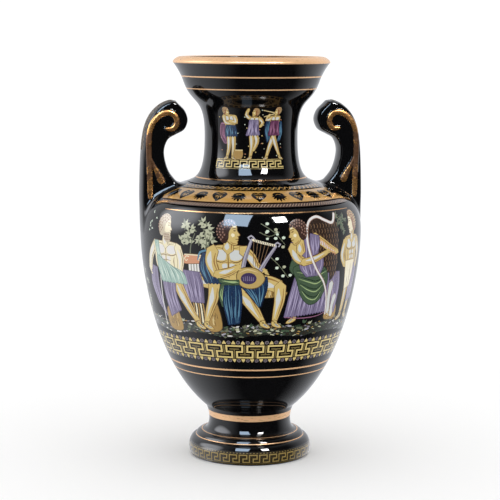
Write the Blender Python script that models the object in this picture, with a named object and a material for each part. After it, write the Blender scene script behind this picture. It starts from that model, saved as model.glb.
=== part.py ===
"""Glazed porcelain amphora with two volute handles, made as one hollow fired piece.

Metres, +Z up. The vase stands on its foot ring at z = 0, its axis is the Z axis, and the
handles rise from the shoulder on +X and -X.
"""
import math

import bmesh
import bpy

MM = 0.001

# Driving dimensions of the turned body, as radii and heights
HEIGHT = 300.0 * MM
WALL = 4.2 * MM
FOOT_RING_RADIUS = 43.2 * MM
FOOT_RADIUS = 46.0 * MM
FOOT_WIDEST_Z = 6.5 * MM
ROLL_RADIUS = 41.0 * MM
ROLL_Z = 15.1 * MM
ROLL_TOP_RADIUS = 34.2 * MM
ROLL_TOP_Z = 19.2 * MM
WAIST_RADIUS = 30.7 * MM
WAIST_Z = 28.0 * MM
BODY_START_RADIUS = 33.2 * MM
BODY_START_Z = 38.0 * MM
BODY_RADIUS = 82.7 * MM
BODY_WIDEST_Z = 171.0 * MM
SHOULDER_RADIUS = 50.0 * MM
SHOULDER_Z = 206.8 * MM
NECK_RADIUS = 34.7 * MM
NECK_Z = 241.0 * MM
MOUTH_RADIUS = 51.2 * MM
MOUTH_Z = 283.0 * MM
LIP_RADIUS = 58.3 * MM
LIP_EDGE_Z = 295.4 * MM
RIM_RADIUS = 52.6 * MM

# Small steps of the moulding: the groove over the torus, and the rounding of the rim
ROLL_GROOVE = 0.4 * MM
RIM_EDGE_IN = 1.4 * MM
RIM_EDGE_DOWN = 1.9 * MM
RIM_INNER_IN = 2.2 * MM
RIM_INNER_DOWN = 0.9 * MM

# Slopes of the outline at its stations, in degrees above the horizontal
LEDGE_SLOPE = 65.0
BODY_START_SLOPE = 40.0
SHOULDER_SLOPE = 17.0
MOUTH_SLOPE = 72.0
LIP_SLOPE = 50.0

# Lengths of the curve handles between the stations
LEDGE_PULL = (4.5 * MM, 2.5 * MM)
BODY_PULL = (53.7 * MM, 22.8 * MM)
SHOULDER_PULL = (22.8 * MM, 23.7 * MM)
NECK_PULL = (9.7 * MM, 29.3 * MM)
FLARE_PULL = (30.8 * MM, 21.8 * MM)
LIP_PULL = (3.5 * MM, 4.0 * MM)

# The hollow under the foot, and the floor of the inside
RECESS_RING = 5.0 * MM
RECESS_RADIUS = 31.0 * MM
RECESS_MOUTH_Z = 3.0 * MM
RECESS_DEPTH = 21.0 * MM
RECESS_TOP_RADIUS = 23.0 * MM
RECESS_CORNER = 7.0 * MM
INNER_FLOOR_Z = 42.5 * MM
INNER_FLOOR_RADIUS = 20.0 * MM
INNER_FLOOR_DISH = 1.0 * MM
INNER_LOWEST = 3.0 * MM
INNER_HIGHEST = 4.0 * MM

# Driving dimensions of the handles, as distances from the axis and heights
HANDLE_DEPTH = 20.0 * MM
HANDLE_ROUNDING = 2.1 * MM
ROOT_SINK = 2.0 * MM
ROOT_BURIED_X = (60.0, 67.0, 73.0, 77.0, 79.5)
ROOT_FLARE = 5.5 * MM
ROOT_FLARE_SINK = 1.5 * MM
ROOT_FLARE_INSET = 0.4 * MM
ROOT_SQUARENESS = 0.7
ROOT_LIFT = 6.5 * MM
ROOT_INNER_X = 51.5 * MM
ROOT_INNER_LEAN = 9.0 * MM
ROOT_OUTER_X = 78.5 * MM
HANDLE_OUTER = [
    (81.6, 168.0), (83.5, 179.5), (84.2, 191.0), (83.9, 208.0), (83.0, 230.0), (80.8, 246.5),
    (76.2, 257.5), (69.2, 264.6), (62.0, 267.9), (57.3, 267.6),
]
HANDLE_INNER = [
    (55.4, 265.6), (50.3, 260.2), (48.2, 253.0), (50.9, 246.0), (57.2, 242.3),
    (62.9, 238.8), (65.7, 231.5), (65.0, 223.5), (62.2, 215.5), (57.6, 209.4), (52.5, 204.6),
]

# The moulded scroll and branch on each face of a handle
SCROLL_PATH = [
    (77.6, 193.5), (77.7, 209.0), (77.2, 224.0), (77.0, 237.0), (75.6, 248.0), (71.6, 255.4),
    (66.0, 259.3), (60.6, 259.8), (56.2, 257.2), (54.3, 252.4), (55.8, 248.0), (59.6, 246.0),
    (63.0, 247.3),
]
SCROLL_WIDTH = 4.2 * MM
SCROLL_RISE = 1.1 * MM
RIDGE_SINK = 0.3 * MM
SWELL_RATE = 6.0
BRANCH_PATH = [(75.9, 224.0), (73.5, 219.6), (70.6, 214.6), (67.9, 209.6), (65.6, 206.2)]
BRANCH_WIDTH = 5.2 * MM

# Fineness of the faceted model
BODY_SEGMENTS = 48
MOULDING_STEPS = 3
BODY_STEPS = 9
SHOULDER_STEPS = 6
NECK_STEPS = 5
LIP_STEPS = 2
INNER_STEP = 11.0 * MM
HANDLE_OUTER_STEP = 5.5 * MM
HANDLE_INNER_STEP = 4.2 * MM
RIDGE_STEP = 4.4 * MM
RIDGE_SIDES = 8
ROOT_SIDES = 20
ROOT_LEVELS = 4

# A handle's rounded edges, as shares of half its depth and of HANDLE_ROUNDING
HANDLE_LAYERS = [(-1.0, 1.0), (-0.88, 0.45), (-0.55, 0.1), (0.55, 0.1), (0.88, 0.45), (1.0, 1.0)]


def bezier(start, end, start_angle, end_angle, pulls, steps):
    """Points after start on a cubic curve whose ends run at the given angles in degrees."""
    a = math.radians(start_angle)
    b = math.radians(end_angle)
    first = (start[0] + pulls[0] * math.cos(a), start[1] + pulls[0] * math.sin(a))
    second = (end[0] - pulls[1] * math.cos(b), end[1] - pulls[1] * math.sin(b))
    points = []
    for i in range(1, steps + 1):
        t = i / steps
        weights = ((1 - t) ** 3, 3 * (1 - t) ** 2 * t, 3 * (1 - t) * t * t, t ** 3)
        corners = (start, first, second, end)
        points.append(tuple(sum(w * c[k] for w, c in zip(weights, corners)) for k in (0, 1)))
    return points


def quarter_ellipse(centre, radii, start_deg, end_deg, steps):
    """Points of an elliptical arc, without its first one."""
    points = []
    for i in range(1, steps + 1):
        t = math.radians(start_deg + (end_deg - start_deg) * i / steps)
        points.append((centre[0] + radii[0] * math.cos(t), centre[1] + radii[1] * math.sin(t)))
    return points


def foot_outline():
    """Foot ring, torus, roll and waist, upwards from the ring's outer edge."""
    steps = MOULDING_STEPS
    ring = quarter_ellipse((FOOT_RING_RADIUS, FOOT_WIDEST_Z),
                           (FOOT_RADIUS - FOOT_RING_RADIUS, FOOT_WIDEST_Z), -90, 0, steps - 1)
    torus = quarter_ellipse((ROLL_RADIUS, FOOT_WIDEST_Z),
                            (FOOT_RADIUS - ROLL_RADIUS, ROLL_Z - FOOT_WIDEST_Z), 0, 90, steps)
    roll_radii = (ROLL_RADIUS - ROLL_GROOVE - ROLL_TOP_RADIUS, ROLL_TOP_Z - ROLL_Z)
    roll = quarter_ellipse((ROLL_TOP_RADIUS, ROLL_Z), roll_radii, 0, 90, steps)
    waist_radii = (WAIST_RADIUS - ROLL_TOP_RADIUS, ROLL_TOP_Z + ROLL_GROOVE - WAIST_Z)
    waist = quarter_ellipse((ROLL_TOP_RADIUS, WAIST_Z), waist_radii, 90, 0, steps)
    return [(FOOT_RING_RADIUS, 0.0)] + ring + torus + roll + waist


def body_outline():
    """Ledge over the waist, swelling body, shoulder, neck, flared mouth and lip."""
    waist = (WAIST_RADIUS, WAIST_Z)
    start = (BODY_START_RADIUS, BODY_START_Z)
    widest = (BODY_RADIUS, BODY_WIDEST_Z)
    shoulder = (SHOULDER_RADIUS, SHOULDER_Z)
    neck = (NECK_RADIUS, NECK_Z)
    mouth = (MOUTH_RADIUS, MOUTH_Z)
    lip = (LIP_RADIUS, LIP_EDGE_Z)
    points = bezier(waist, start, 90, LEDGE_SLOPE, LEDGE_PULL, MOULDING_STEPS)
    points += bezier(start, widest, BODY_START_SLOPE, 90, BODY_PULL, BODY_STEPS)
    points += bezier(widest, shoulder, 90, 180 - SHOULDER_SLOPE, SHOULDER_PULL, SHOULDER_STEPS)
    points += bezier(shoulder, neck, 180 - SHOULDER_SLOPE, 90, NECK_PULL, NECK_STEPS)
    points += bezier(neck, mouth, 90, MOUTH_SLOPE, FLARE_PULL, SHOULDER_STEPS)
    points += bezier(mouth, lip, MOUTH_SLOPE, LIP_SLOPE, LIP_PULL, LIP_STEPS)
    return points + [(LIP_RADIUS - RIM_EDGE_IN, HEIGHT - RIM_EDGE_DOWN), (RIM_RADIUS, HEIGHT)]


def inner_outline(outer):
    """The inside, from the rim down to the floor, one wall inside the outer outline."""
    points = [(RIM_RADIUS - RIM_INNER_IN, HEIGHT - RIM_INNER_DOWN)]
    for above, here, below in zip(outer[::-1], outer[-2::-1], outer[-3::-1]):
        run = (below[0] - above[0], below[1] - above[1])
        length = math.hypot(*run)
        point = (here[0] + WALL * run[1] / length, here[1] - WALL * run[0] / length)
        inside = INNER_FLOOR_Z + INNER_LOWEST < point[1] < HEIGHT - INNER_HIGHEST
        if inside and math.dist(point, points[-1]) > INNER_STEP:
            points.append(point)
    return points + [(INNER_FLOOR_RADIUS, INNER_FLOOR_Z), (0.0, INNER_FLOOR_Z - INNER_FLOOR_DISH)]


def recess_outline():
    """The hollow under the foot, from the axis out to the flat ring that it stands on."""
    corner_centre = (RECESS_TOP_RADIUS - RECESS_CORNER, RECESS_DEPTH - RECESS_CORNER)
    corner = quarter_ellipse(corner_centre, (RECESS_CORNER, RECESS_CORNER), 90, 0, MOULDING_STEPS)
    mouth = (RECESS_RADIUS, RECESS_MOUTH_Z)
    return [(0.0, RECESS_DEPTH)] + corner + [mouth, (FOOT_RING_RADIUS - RECESS_RING, 0.0)]


def lathe(name, outline, segments):
    """A body turned round the Z axis from an outline that starts and ends on the axis."""
    mesh = bpy.data.meshes.new(name)
    bm = bmesh.new()
    rings = []
    for radius, height in outline:
        if radius == 0.0:
            rings.append([bm.verts.new((0.0, 0.0, height))] * segments)
            continue
        ring = []
        for i in range(segments):
            angle = 2 * math.pi * i / segments
            ring.append(bm.verts.new((radius * math.cos(angle), radius * math.sin(angle), height)))
        rings.append(ring)
    for lower, upper in zip(rings, rings[1:]):
        for i in range(segments):
            j = (i + 1) % segments
            corners = [lower[i], lower[j], upper[j], upper[i]]
            bm.faces.new(sorted(set(corners), key=corners.index))
    bmesh.ops.recalc_face_normals(bm, faces=bm.faces)
    bm.to_mesh(mesh)
    bm.free()
    obj = bpy.data.objects.new(name, mesh)
    bpy.context.collection.objects.link(obj)
    return obj


def smooth_path(points, step):
    """Points about a step apart on a smooth curve through the given ones, both ends kept."""
    ends = [tuple(2 * points[0][k] - points[1][k] for k in (0, 1)),
            tuple(2 * points[-1][k] - points[-2][k] for k in (0, 1))]
    guide = [ends[0]] + list(points) + [ends[1]]
    path = [points[0]]
    for p0, p1, p2, p3 in zip(guide, guide[1:], guide[2:], guide[3:]):
        count = max(1, round(math.dist(p1, p2) / step))
        for i in range(1, count + 1):
            t = i / count
            path.append(tuple(
                0.5 * (2 * p1[k] + (p2[k] - p0[k]) * t
                       + (2 * p0[k] - 5 * p1[k] + 4 * p2[k] - p3[k]) * t * t
                       + (3 * p1[k] - p0[k] - 3 * p2[k] + p3[k]) * t ** 3)
                for k in (0, 1)))
    return path


def in_metres(points):
    return [(x * MM, z * MM) for x, z in points]


def shoulder_height(radius, outer):
    """Height of the body's outside at a radius, between its widest place and the neck."""
    flank = [p for p in outer if BODY_WIDEST_Z <= p[1] <= NECK_Z]
    for low, high in zip(flank, flank[1:]):
        if high[0] <= radius <= low[0]:
            share = (low[0] - radius) / max(low[0] - high[0], 1e-9)
            return low[1] + share * (high[1] - low[1])
    return BODY_WIDEST_Z


def handle_edge():
    """The part of a handle's outline that shows, from its outer root over the top and down."""
    outer_side = smooth_path(in_metres(HANDLE_OUTER), HANDLE_OUTER_STEP)
    return outer_side + smooth_path(in_metres(HANDLE_INNER), HANDLE_INNER_STEP)


def handle_bottom(outer):
    """The part of a handle's outline that is buried in the body's wall."""
    return [(x * MM, shoulder_height(x * MM, outer) - ROOT_SINK) for x in ROOT_BURIED_X]


def inset_edge(edge, amount):
    """The edge moved inwards; it runs anticlockwise as seen from -Y."""
    moved = []
    for i, (x, z) in enumerate(edge):
        before = edge[max(i - 1, 0)]
        after = edge[min(i + 1, len(edge) - 1)]
        run = (after[0] - before[0], after[1] - before[1])
        length = math.hypot(*run)
        moved.append((x - amount * run[1] / length, z + amount * run[0] / length))
    return moved


def stacked_body(name, layers):
    """A closed body through rings of equal length, each a list of 3-D points."""
    mesh = bpy.data.meshes.new(name)
    bm = bmesh.new()
    rings = [[bm.verts.new(point) for point in layer] for layer in layers]
    count = len(rings[0])
    for lower, upper in zip(rings, rings[1:]):
        for i in range(count):
            j = (i + 1) % count
            bm.faces.new((lower[i], lower[j], upper[j], upper[i]))
    caps = [bm.faces.new(rings[0]), bm.faces.new(rings[-1])]
    bmesh.ops.recalc_face_normals(bm, faces=bm.faces)
    bmesh.ops.triangulate(bm, faces=caps)
    bm.to_mesh(mesh)
    bm.free()
    obj = bpy.data.objects.new(name, mesh)
    bpy.context.collection.objects.link(obj)
    return obj


def handle_body(name, side, outer):
    """One handle: its outline carried through its depth, with rounded edges."""
    edge = handle_edge()
    bottom = handle_bottom(outer)
    half = HANDLE_DEPTH / 2
    layers = []
    for depth_share, inset_share in HANDLE_LAYERS:
        loop = inset_edge(edge, HANDLE_ROUNDING * inset_share) + bottom
        layers.append([(side * x, depth_share * half, z) for x, z in loop])
    return stacked_body(name, layers)


def root_flare(name, side, outer):
    """The clay smoothed out round a handle's root, following the shoulder."""
    layers = []
    for level in range(-1, ROOT_LEVELS + 1):
        turn = math.radians(90.0 * max(level, 0) / ROOT_LEVELS)
        lift = -ROOT_FLARE_SINK if level < 0 else ROOT_LIFT * (1 - math.cos(turn))
        half_y = HANDLE_DEPTH / 2 - ROOT_FLARE_INSET + ROOT_FLARE * (1 - math.sin(turn))
        x_low = ROOT_INNER_X + ROOT_INNER_LEAN * math.sin(turn)
        ring = []
        for corner in range(ROOT_SIDES):
            angle = 2 * math.pi * corner / ROOT_SIDES
            across, along = [math.copysign(abs(v) ** ROOT_SQUARENESS, v)
                             for v in (math.sin(angle), math.cos(angle))]
            x = (x_low + ROOT_OUTER_X) / 2 + along * (ROOT_OUTER_X - x_low) / 2
            y = across * half_y
            ring.append((side * x, y, shoulder_height(math.hypot(x, y), outer) + lift))
        layers.append(ring)
    return stacked_body(name, layers)


def ridge(name, side, face, path, widths):
    """A rounded raised line along a path on one face of a handle."""
    half_depth = HANDLE_DEPTH / 2
    layers = []
    for i, (x, z) in enumerate(path):
        before = path[max(i - 1, 0)]
        after = path[min(i + 1, len(path) - 1)]
        run = (after[0] - before[0], after[1] - before[1])
        length = math.hypot(*run)
        across = (-run[1] / length, run[0] / length)
        half_width = widths[i] / 2
        ring = []
        for corner in range(RIDGE_SIDES):
            angle = 2 * math.pi * corner / RIDGE_SIDES
            offset = half_width * math.cos(angle)
            height = half_depth - RIDGE_SINK + (SCROLL_RISE + RIDGE_SINK) * math.sin(angle)
            ring.append((side * (x + across[0] * offset), face * height, z + across[1] * offset))
        layers.append(ring)
    return stacked_body(name, layers)


def swelling(count, start_share, end_share, width):
    """Widths that grow from a share of the full width and shrink to another at the far end."""
    widths = []
    for i in range(count):
        along = i / (count - 1)
        grow = start_share + SWELL_RATE * along
        fade = end_share + SWELL_RATE * (1 - along)
        widths.append(width * min(1.0, grow, fade))
    return widths


def scroll_ridges(side, face):
    """The long scroll that curls into the volute's eye, and the branch below it."""
    scroll = smooth_path(in_metres(SCROLL_PATH), RIDGE_STEP)
    branch = smooth_path(in_metres(BRANCH_PATH), RIDGE_STEP)
    scroll_widths = swelling(len(scroll), 0.5, 0.4, SCROLL_WIDTH)
    branch_widths = [BRANCH_WIDTH * (0.25 + 0.75 * i / (len(branch) - 1)) for i in range(len(branch))]
    tag = f"{side}_{face}"
    return [ridge(f"scroll_{tag}", side, face, scroll, scroll_widths),
            ridge(f"branch_{tag}", side, face, branch, branch_widths)]


def join_to(target, part):
    """Unite a part with the target and remove it."""
    modifier = target.modifiers.new(part.name, "BOOLEAN")
    modifier.operation = "UNION"
    modifier.object = part
    bpy.context.view_layer.objects.active = target
    bpy.ops.object.modifier_apply(modifier=modifier.name)
    bpy.data.objects.remove(part, do_unlink=True)


def black_glaze():
    """Glossy black glaze."""
    material = bpy.data.materials.new("black_glaze")
    material.use_nodes = True
    shader = material.node_tree.nodes["Principled BSDF"]
    shader.inputs["Base Color"].default_value = (0.008, 0.008, 0.01, 1.0)
    shader.inputs["Roughness"].default_value = 0.07
    shader.inputs["Metallic"].default_value = 0.0
    return material


def build():
    for obj in list(bpy.data.objects):
        bpy.data.objects.remove(obj, do_unlink=True)
    outer = foot_outline() + body_outline()
    outline = recess_outline() + outer + inner_outline(outer)
    amphora = lathe("amphora", outline, BODY_SEGMENTS)
    for side in (1, -1):
        handle = handle_body(f"handle_{side}", side, outer)
        join_to(handle, root_flare(f"root_{side}", side, outer))
        for face in (1, -1):
            for part in scroll_ridges(side, face):
                join_to(handle, part)
        join_to(amphora, handle)
    amphora.data.materials.clear()
    amphora.data.materials.append(black_glaze())
    amphora.data.shade_smooth()
    amphora.data.set_sharp_from_angle(angle=math.radians(35))


build()
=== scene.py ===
"""Looks of the black-glazed porcelain amphora: its smooth skin, gilding and printed figures.

Lengths are in millimetres until the mesh is made. The body is turned from the solids' own profile,
and the handles stand where the solids' do. The painting is colour alone: it lies in the skin as
faces of other materials.
"""
import math

import bmesh
import bpy
import numpy as np
from mathutils import Matrix, Vector
from mathutils.geometry import delaunay_2d_cdt


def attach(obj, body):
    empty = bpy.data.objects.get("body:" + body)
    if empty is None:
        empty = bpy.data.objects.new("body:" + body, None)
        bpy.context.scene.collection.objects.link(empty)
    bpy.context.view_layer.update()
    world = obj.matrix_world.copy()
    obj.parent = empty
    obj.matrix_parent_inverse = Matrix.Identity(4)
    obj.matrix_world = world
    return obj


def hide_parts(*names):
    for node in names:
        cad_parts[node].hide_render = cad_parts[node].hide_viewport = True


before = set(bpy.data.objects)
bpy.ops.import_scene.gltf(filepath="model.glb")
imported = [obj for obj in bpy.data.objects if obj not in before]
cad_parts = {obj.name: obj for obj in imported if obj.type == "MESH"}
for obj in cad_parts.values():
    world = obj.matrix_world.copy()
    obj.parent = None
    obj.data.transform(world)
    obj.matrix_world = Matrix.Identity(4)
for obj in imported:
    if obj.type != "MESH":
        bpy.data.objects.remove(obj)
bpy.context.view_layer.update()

MM = 0.001

# The turned body, as radii and heights
HEIGHT = 300.0
WALL = 4.2
FOOT_RING_RADIUS = 43.2
FOOT_RADIUS = 46.0
FOOT_WIDEST_Z = 6.5
ROLL_RADIUS = 41.0
ROLL_Z = 15.1
ROLL_TOP_RADIUS = 34.2
ROLL_TOP_Z = 19.2
ROLL_GROOVE = 0.4
WAIST_RADIUS = 30.7
WAIST_Z = 28.0
BODY_START_RADIUS = 33.2
BODY_START_Z = 38.0
BODY_RADIUS = 82.7
BODY_WIDEST_Z = 171.0
SHOULDER_RADIUS = 50.0
SHOULDER_Z = 206.8
NECK_RADIUS = 34.7
NECK_Z = 241.0
MOUTH_RADIUS = 51.2
MOUTH_Z = 283.0
LIP_RADIUS = 58.3
LIP_EDGE_Z = 295.4
RIM_RADIUS = 52.6
LEDGE_SLOPE = 65.0
BODY_START_SLOPE = 40.0
SHOULDER_SLOPE = 17.0
MOUTH_SLOPE = 72.0
LIP_SLOPE = 50.0
LEDGE_PULL = (4.5, 2.5)
BODY_PULL = (53.7, 22.8)
SHOULDER_PULL = (22.8, 23.7)
NECK_PULL = (9.7, 29.3)
FLARE_PULL = (30.8, 21.8)
LIP_PULL = (3.5, 4.0)
RIM_PULL = (1.8, 2.6)
RIM_INNER_IN = 2.2
RIM_INNER_DOWN = 0.9
RIM_INNER_SLOPE = 230
RIM_INNER_PULL = (0.8, 0.8)
RIM_INNER_POINTS = 8

# The hollow under the foot, and the floor of the inside
RECESS_RING = 5.0
RECESS_RADIUS = 31.0
RECESS_MOUTH_Z = 3.0
RECESS_DEPTH = 21.0
RECESS_TOP_RADIUS = 23.0
RECESS_CORNER = 7.0
INNER_START_DOWN = 7.0
INNER_END_RISE = 5.0
INNER_STEP = 1.0
INNER_FLOOR_Z = 42.5
INNER_FLOOR_RADIUS = 20.0
INNER_FLOOR_DISH = 1.0

# The handles: outline as distances from the axis and heights, and the moulded scroll and branch
HANDLE_DEPTH = 20.0
HANDLE_EDGE = 1.5
HANDLE_BULGE = 1.6
HANDLE_FILLET = 5.0
HANDLE_OUTER = [
    (80.4, 172.0), (82.6, 180.5), (83.9, 191.0), (83.9, 208.0), (83.0, 230.0), (80.8, 246.5),
    (76.2, 257.5), (69.2, 264.6), (62.0, 267.9), (57.3, 267.6),
]
HANDLE_INNER = [
    (55.4, 265.6), (50.3, 260.2), (48.2, 253.0), (50.9, 246.0), (57.2, 242.3),
    (62.9, 238.8), (65.7, 231.5), (65.0, 223.5), (62.2, 215.5), (57.6, 209.4), (53.5, 205.6),
]
HANDLE_BURIED = [(60.0, 196.0), (70.0, 188.0), (77.0, 178.0)]
SCROLL_PATH = [
    (77.2, 197.0), (77.5, 210.0), (78.0, 224.0), (78.2, 238.0), (77.0, 247.4), (73.6, 253.6),
    (69.0, 257.6), (64.4, 259.1), (60.2, 257.8), (57.6, 254.2), (57.7, 250.2), (60.8, 247.0),
    (65.0, 247.2),
]
SCROLL_WIDTH = 4.2
SCROLL_ENDS = (0.8, 0.6)
BRANCH_PATH = [(76.6, 225.5), (74.8, 221.0), (72.6, 216.6), (70.6, 212.6), (68.9, 209.2)]
BRANCH_WIDTH = 5.6
BRANCH_START = 0.25
SWELL_RATE = 6.0
RIDGE_RISE = 1.1
RIDGE_FLATNESS = 3.0
RIDGE_EDGE_ROOM = 0.8
# Painted dark reflection on the ridges' gilding: a brown band up the middle of the stem, broken into patches
RIDGE_REFLECTION_Z = 228.0
RIDGE_REFLECTION_HALF = 15.0
RIDGE_REFLECTION_PULL = 2.4

# Rope print along the outer face of each handle, from its root's side to the scroll's top
EDGE_ROPE_START = 60.0
EDGE_ROPE_END = 107.0
EDGE_ROPE_HALF = 6.6
EDGE_ROPE_REACH = 0.6
EDGE_ROPE_PITCH = 3.1
EDGE_ROPE_SLANT = 0.9

# Fineness of the skin; a row's turn is in degrees, and a net's box holds the +X handle
COLUMNS = 96
ROW_STEP = 4.2
ROW_TURN = 12.0
INSIDE_STEP = 9.0
UNDER_STEP = 8.0
UNDER_TURN = 15.0
TABLE_STEP = 0.25
CURVE_STEP = 1.2
BLOB_STEP = 1.7
RIBBON_STEP = 1.9
NET_STEP = 1.25
NET_BOX = ((44.0, -17.0, 156.0), (88.0, 17.0, 272.0))
NET_ROOM = 3.0
FLANK_REACH = (120.0, 290.0)
SLOPE_REACH = 0.03
SNAP = 0.12
STRAND_SNAP = 0.05
CHUNK = 4000
TINY = 1e-6
JOIN_REACH = 1e-4

# Open edges are stitched and points are welded in metres
STITCH_ROUNDS = 6
STITCH_REACH = 2e-5
WELD_REACH = 1e-6

# The painting's turn towards the photograph's camera, and the vase's back as seen from it, in degrees
ART_TURN = -11.0
BACK_DEGREES = 191.0

# Where the painted bands meet the plain ones, and the radius at which each is drawn to scale
FOOT_CHART = (0.7, 11.2)
FRIEZE_CHART = (79.0, 209.4)
FRIEZE_RADIUS = 80.0
NECK_CHART = (219.0, 268.5)
NECK_CHART_RADIUS = 36.0

# Plain lines: height of the middle and width along the surface
FOOT_LINES = [(15.2, 0.8), (19.0, 0.8)]
LOWER_LINES = [(69.1, 0.9), (74.9, 1.35)]
COLLAR = (30.0, 34.6)
NECK_LINES = [(210.9, 1.0)]
MOUTH_LINES = [(276.5, 0.9), (285.4, 1.0)]
LIP_GOLD_Z = 295.2
LIP_GOLD_INSIDE = 2.0

# Key patterns: where each turns back, as shares of its pitch, and the bands' edges as heights
FOOT_KEY_TURNS = (0.74, 0.37)
FOOT_KEY_LOW = 3.0
FOOT_KEY_HIGH = 8.4
FOOT_KEY_WIDTH = 0.8
FOOT_PRINT_LOW = 0.9
FOOT_PRINT_HIGH = 10.3
FOOT_KEYS = 38
FOOT_EDGE_WIDTH = 0.5
FOOT_DASH = [(0.2, 0.0), (0.4, 0.0)]
FOOT_DASHES = 3 * FOOT_KEYS
FOOT_DASH_RISE = 0.55
BORDER_KEY_LOW = 85.1
BORDER_KEY_HIGH = 94.0
BORDER_KEY_WIDTH = 1.3
BORDER_KEY_REACH = 0.13
BORDER_T_WIDTH = 1.0
BORDER_T_HALF = 0.2
BORDER_T_BARS = ((0.25, 0.74, 0.0), (0.75, 0.26, 1.0))
BORDER_ROWS = (82.6, 96.7)
BORDER_KEYS = 28
BORDER_PAIRS = 63
ROSETTE_RINGS = (("mauve", 1.5, 1.45, 8), ("black", 0.85, 0.8, 6), ("mauve", 0.45, 0.43, 4))
POINT_SHAPE = ((-1.5, -1.4), (1.5, -1.4), (1.1, 0.0), (0.0, 1.5), (-1.1, 0.0))
NECK_KEY_TURNS = (0.75, 0.36)
NECK_KEY_LOW = 220.4
NECK_KEY_HIGH = 224.6
NECK_KEYS = 8
NECK_KEY_WIDTH = 0.84
NECK_KEY_PITCH = 6.6
NECK_KEY_START = -27.7
NECK_RULE_ABOVE = (1.0, 1.4)
NECK_RULE_BELOW = (-1.5, -1.0)
NECK_RULE_SHORT = 2.0

# Shoulder print: heights of its bands, then angles and counts of what repeats along them; its left
# end slants, and is given by lengths along the outline and angles
WAVE_TOP = 207.6
PALMETTE_TOP = 204.4
PALMETTE_LOW = 197.3
ROPE_LOW = 194.7
SHOULDER_LINE = 190.9
SHOULDER_LINE_ENDS = (-52.0, 64.0)
DECAL_LEFT = ((218.5, -62.0), (223.0, -64.0), (239.2, -76.0), (250.5, -86.0))
DECAL_RIGHT = 72.0
WAVE_INSET = (0.3, 0.5, 1.2)
WAVES = 31
WAVE_FIRST = -78.0
WAVE_STEP = 4.8
WAVE_RADIUS = 52.0
WAVE_SHAPE = [(-2.6, -2.2), (-0.6, -1.6), (0.3, 0.6), (1.5, 2.0), (2.8, 1.3), (2.5, 0.1)]
PALMETTES = 11
PALMETTE_RADIUS = 66.0
PALMETTE_FIRST = -59.5
PALMETTE_STEP = 12.95
PALMETTE_RAYS = ((86, 5.6), (62, 6.6), (40, 7.4), (20, 8.2), (0, 8.8))
LOTUS_RAYS = ((58, 3.6), (30, 4.6), (0, 5.2))
LOTUS_HALF = [(0.0, 5.0), (2.4, 6.2), (5.0, 5.0), (5.8, 2.0), (4.0, -1.8), (1.6, -4.6), (0.0, -6.6)]
ROPE_TURNS = 74
ROPE_FIRST = -60.5
ROPE_STEP = 1.8
ROPE_SLANT = 0.9
ROPE_HALF = 0.3
ROPE_INSET = (0.6, 1.0)
ROPE_SHADOW = 0.5

# The ground under the figures, crowded towards the front
PEBBLES = 560
TUFTS = 60
FRONT_CROWDING = 0.45
SOIL_STEPS = 96
SOIL_HEIGHTS = (101.6, 109.0)
SOIL_WAVE = 1.2
WAVE_LENGTH = 9
PEBBLE_HEIGHTS = (101.4, 110.5)
PEBBLE_WAVE = 1.4
TUFT_HEIGHTS = (104, 111)
TUFT_TURNS = (45, 75, 105, 135)
PEBBLE_TONES = ["leaf_dark", "stone_dark", "leaf", "pewter_light", "green", "white", "green_dark", "stone",
                "string_dark", "leaf_dark", "pewter", "green"]

# Behind: trees as (place, height of the lowest leaves, seed), and boulders and figures as places
BACK_TREES = ((172.0, 158, 11), (358.0, 160, 12), (128.0, 112, 13), (392.0, 112, 14), (268.0, 155, 15))
BACK_BOULDERS = (140.0, 381.0)
BACK_COLUMN = 405.0
BACK_MUSICIANS = 283.0
BACK_LISTENER = 254.0

# Colours of the glaze, the gilding and the print, as seen in sRGB
COLOURS = {
    "black": (0.030, 0.030, 0.034),
    "gold": (0.90, 0.70, 0.50),
    "satin_gold": (0.95, 0.76, 0.57),
    "ridge_gold": (0.78, 0.57, 0.34),
    # painted dark reflection on the handles' gilded ridges
    "ridge_worn": (0.44, 0.31, 0.21),
    "key_gold": (0.84, 0.75, 0.48),
    "key_olive": (0.47, 0.41, 0.24),
    "foot_gold": (0.60, 0.51, 0.28),
    "foot_brown": (0.21, 0.18, 0.11),
    "band_gold": (0.78, 0.60, 0.32),
    "rope_brown": (0.30, 0.21, 0.16),
    "rope_light": (0.70, 0.58, 0.47),
    "edge_brown": (0.22, 0.19, 0.17),
    "edge_light": (0.50, 0.46, 0.41),
    "mauve": (0.47, 0.43, 0.45),
    # painted reflection: the listener's flesh, washed pale by a bright veil mirrored in the glaze
    "pale_skin": (0.92, 0.88, 0.74),
    "pewter": (0.50, 0.48, 0.53),
    "pewter_light": (0.66, 0.65, 0.70),
    "lyre_gold": (0.72, 0.62, 0.37),
    "skin": (0.80, 0.70, 0.43),
    "skin_light": (0.80, 0.81, 0.80),
    "skin_shade": (0.60, 0.44, 0.22),
    "skin_line": (0.42, 0.29, 0.14),
    "hair": (0.24, 0.15, 0.12),
    "hair_light": (0.56, 0.42, 0.36),
    "auburn": (0.55, 0.36, 0.22),
    "grey_hair": (0.76, 0.71, 0.61),
    "soil": (0.17, 0.18, 0.15),
    "terracotta": (0.80, 0.56, 0.42),
    "white": (0.88, 0.87, 0.86),
    "string": (0.47, 0.36, 0.26),
    "string_dark": (0.20, 0.14, 0.10),
}

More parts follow.
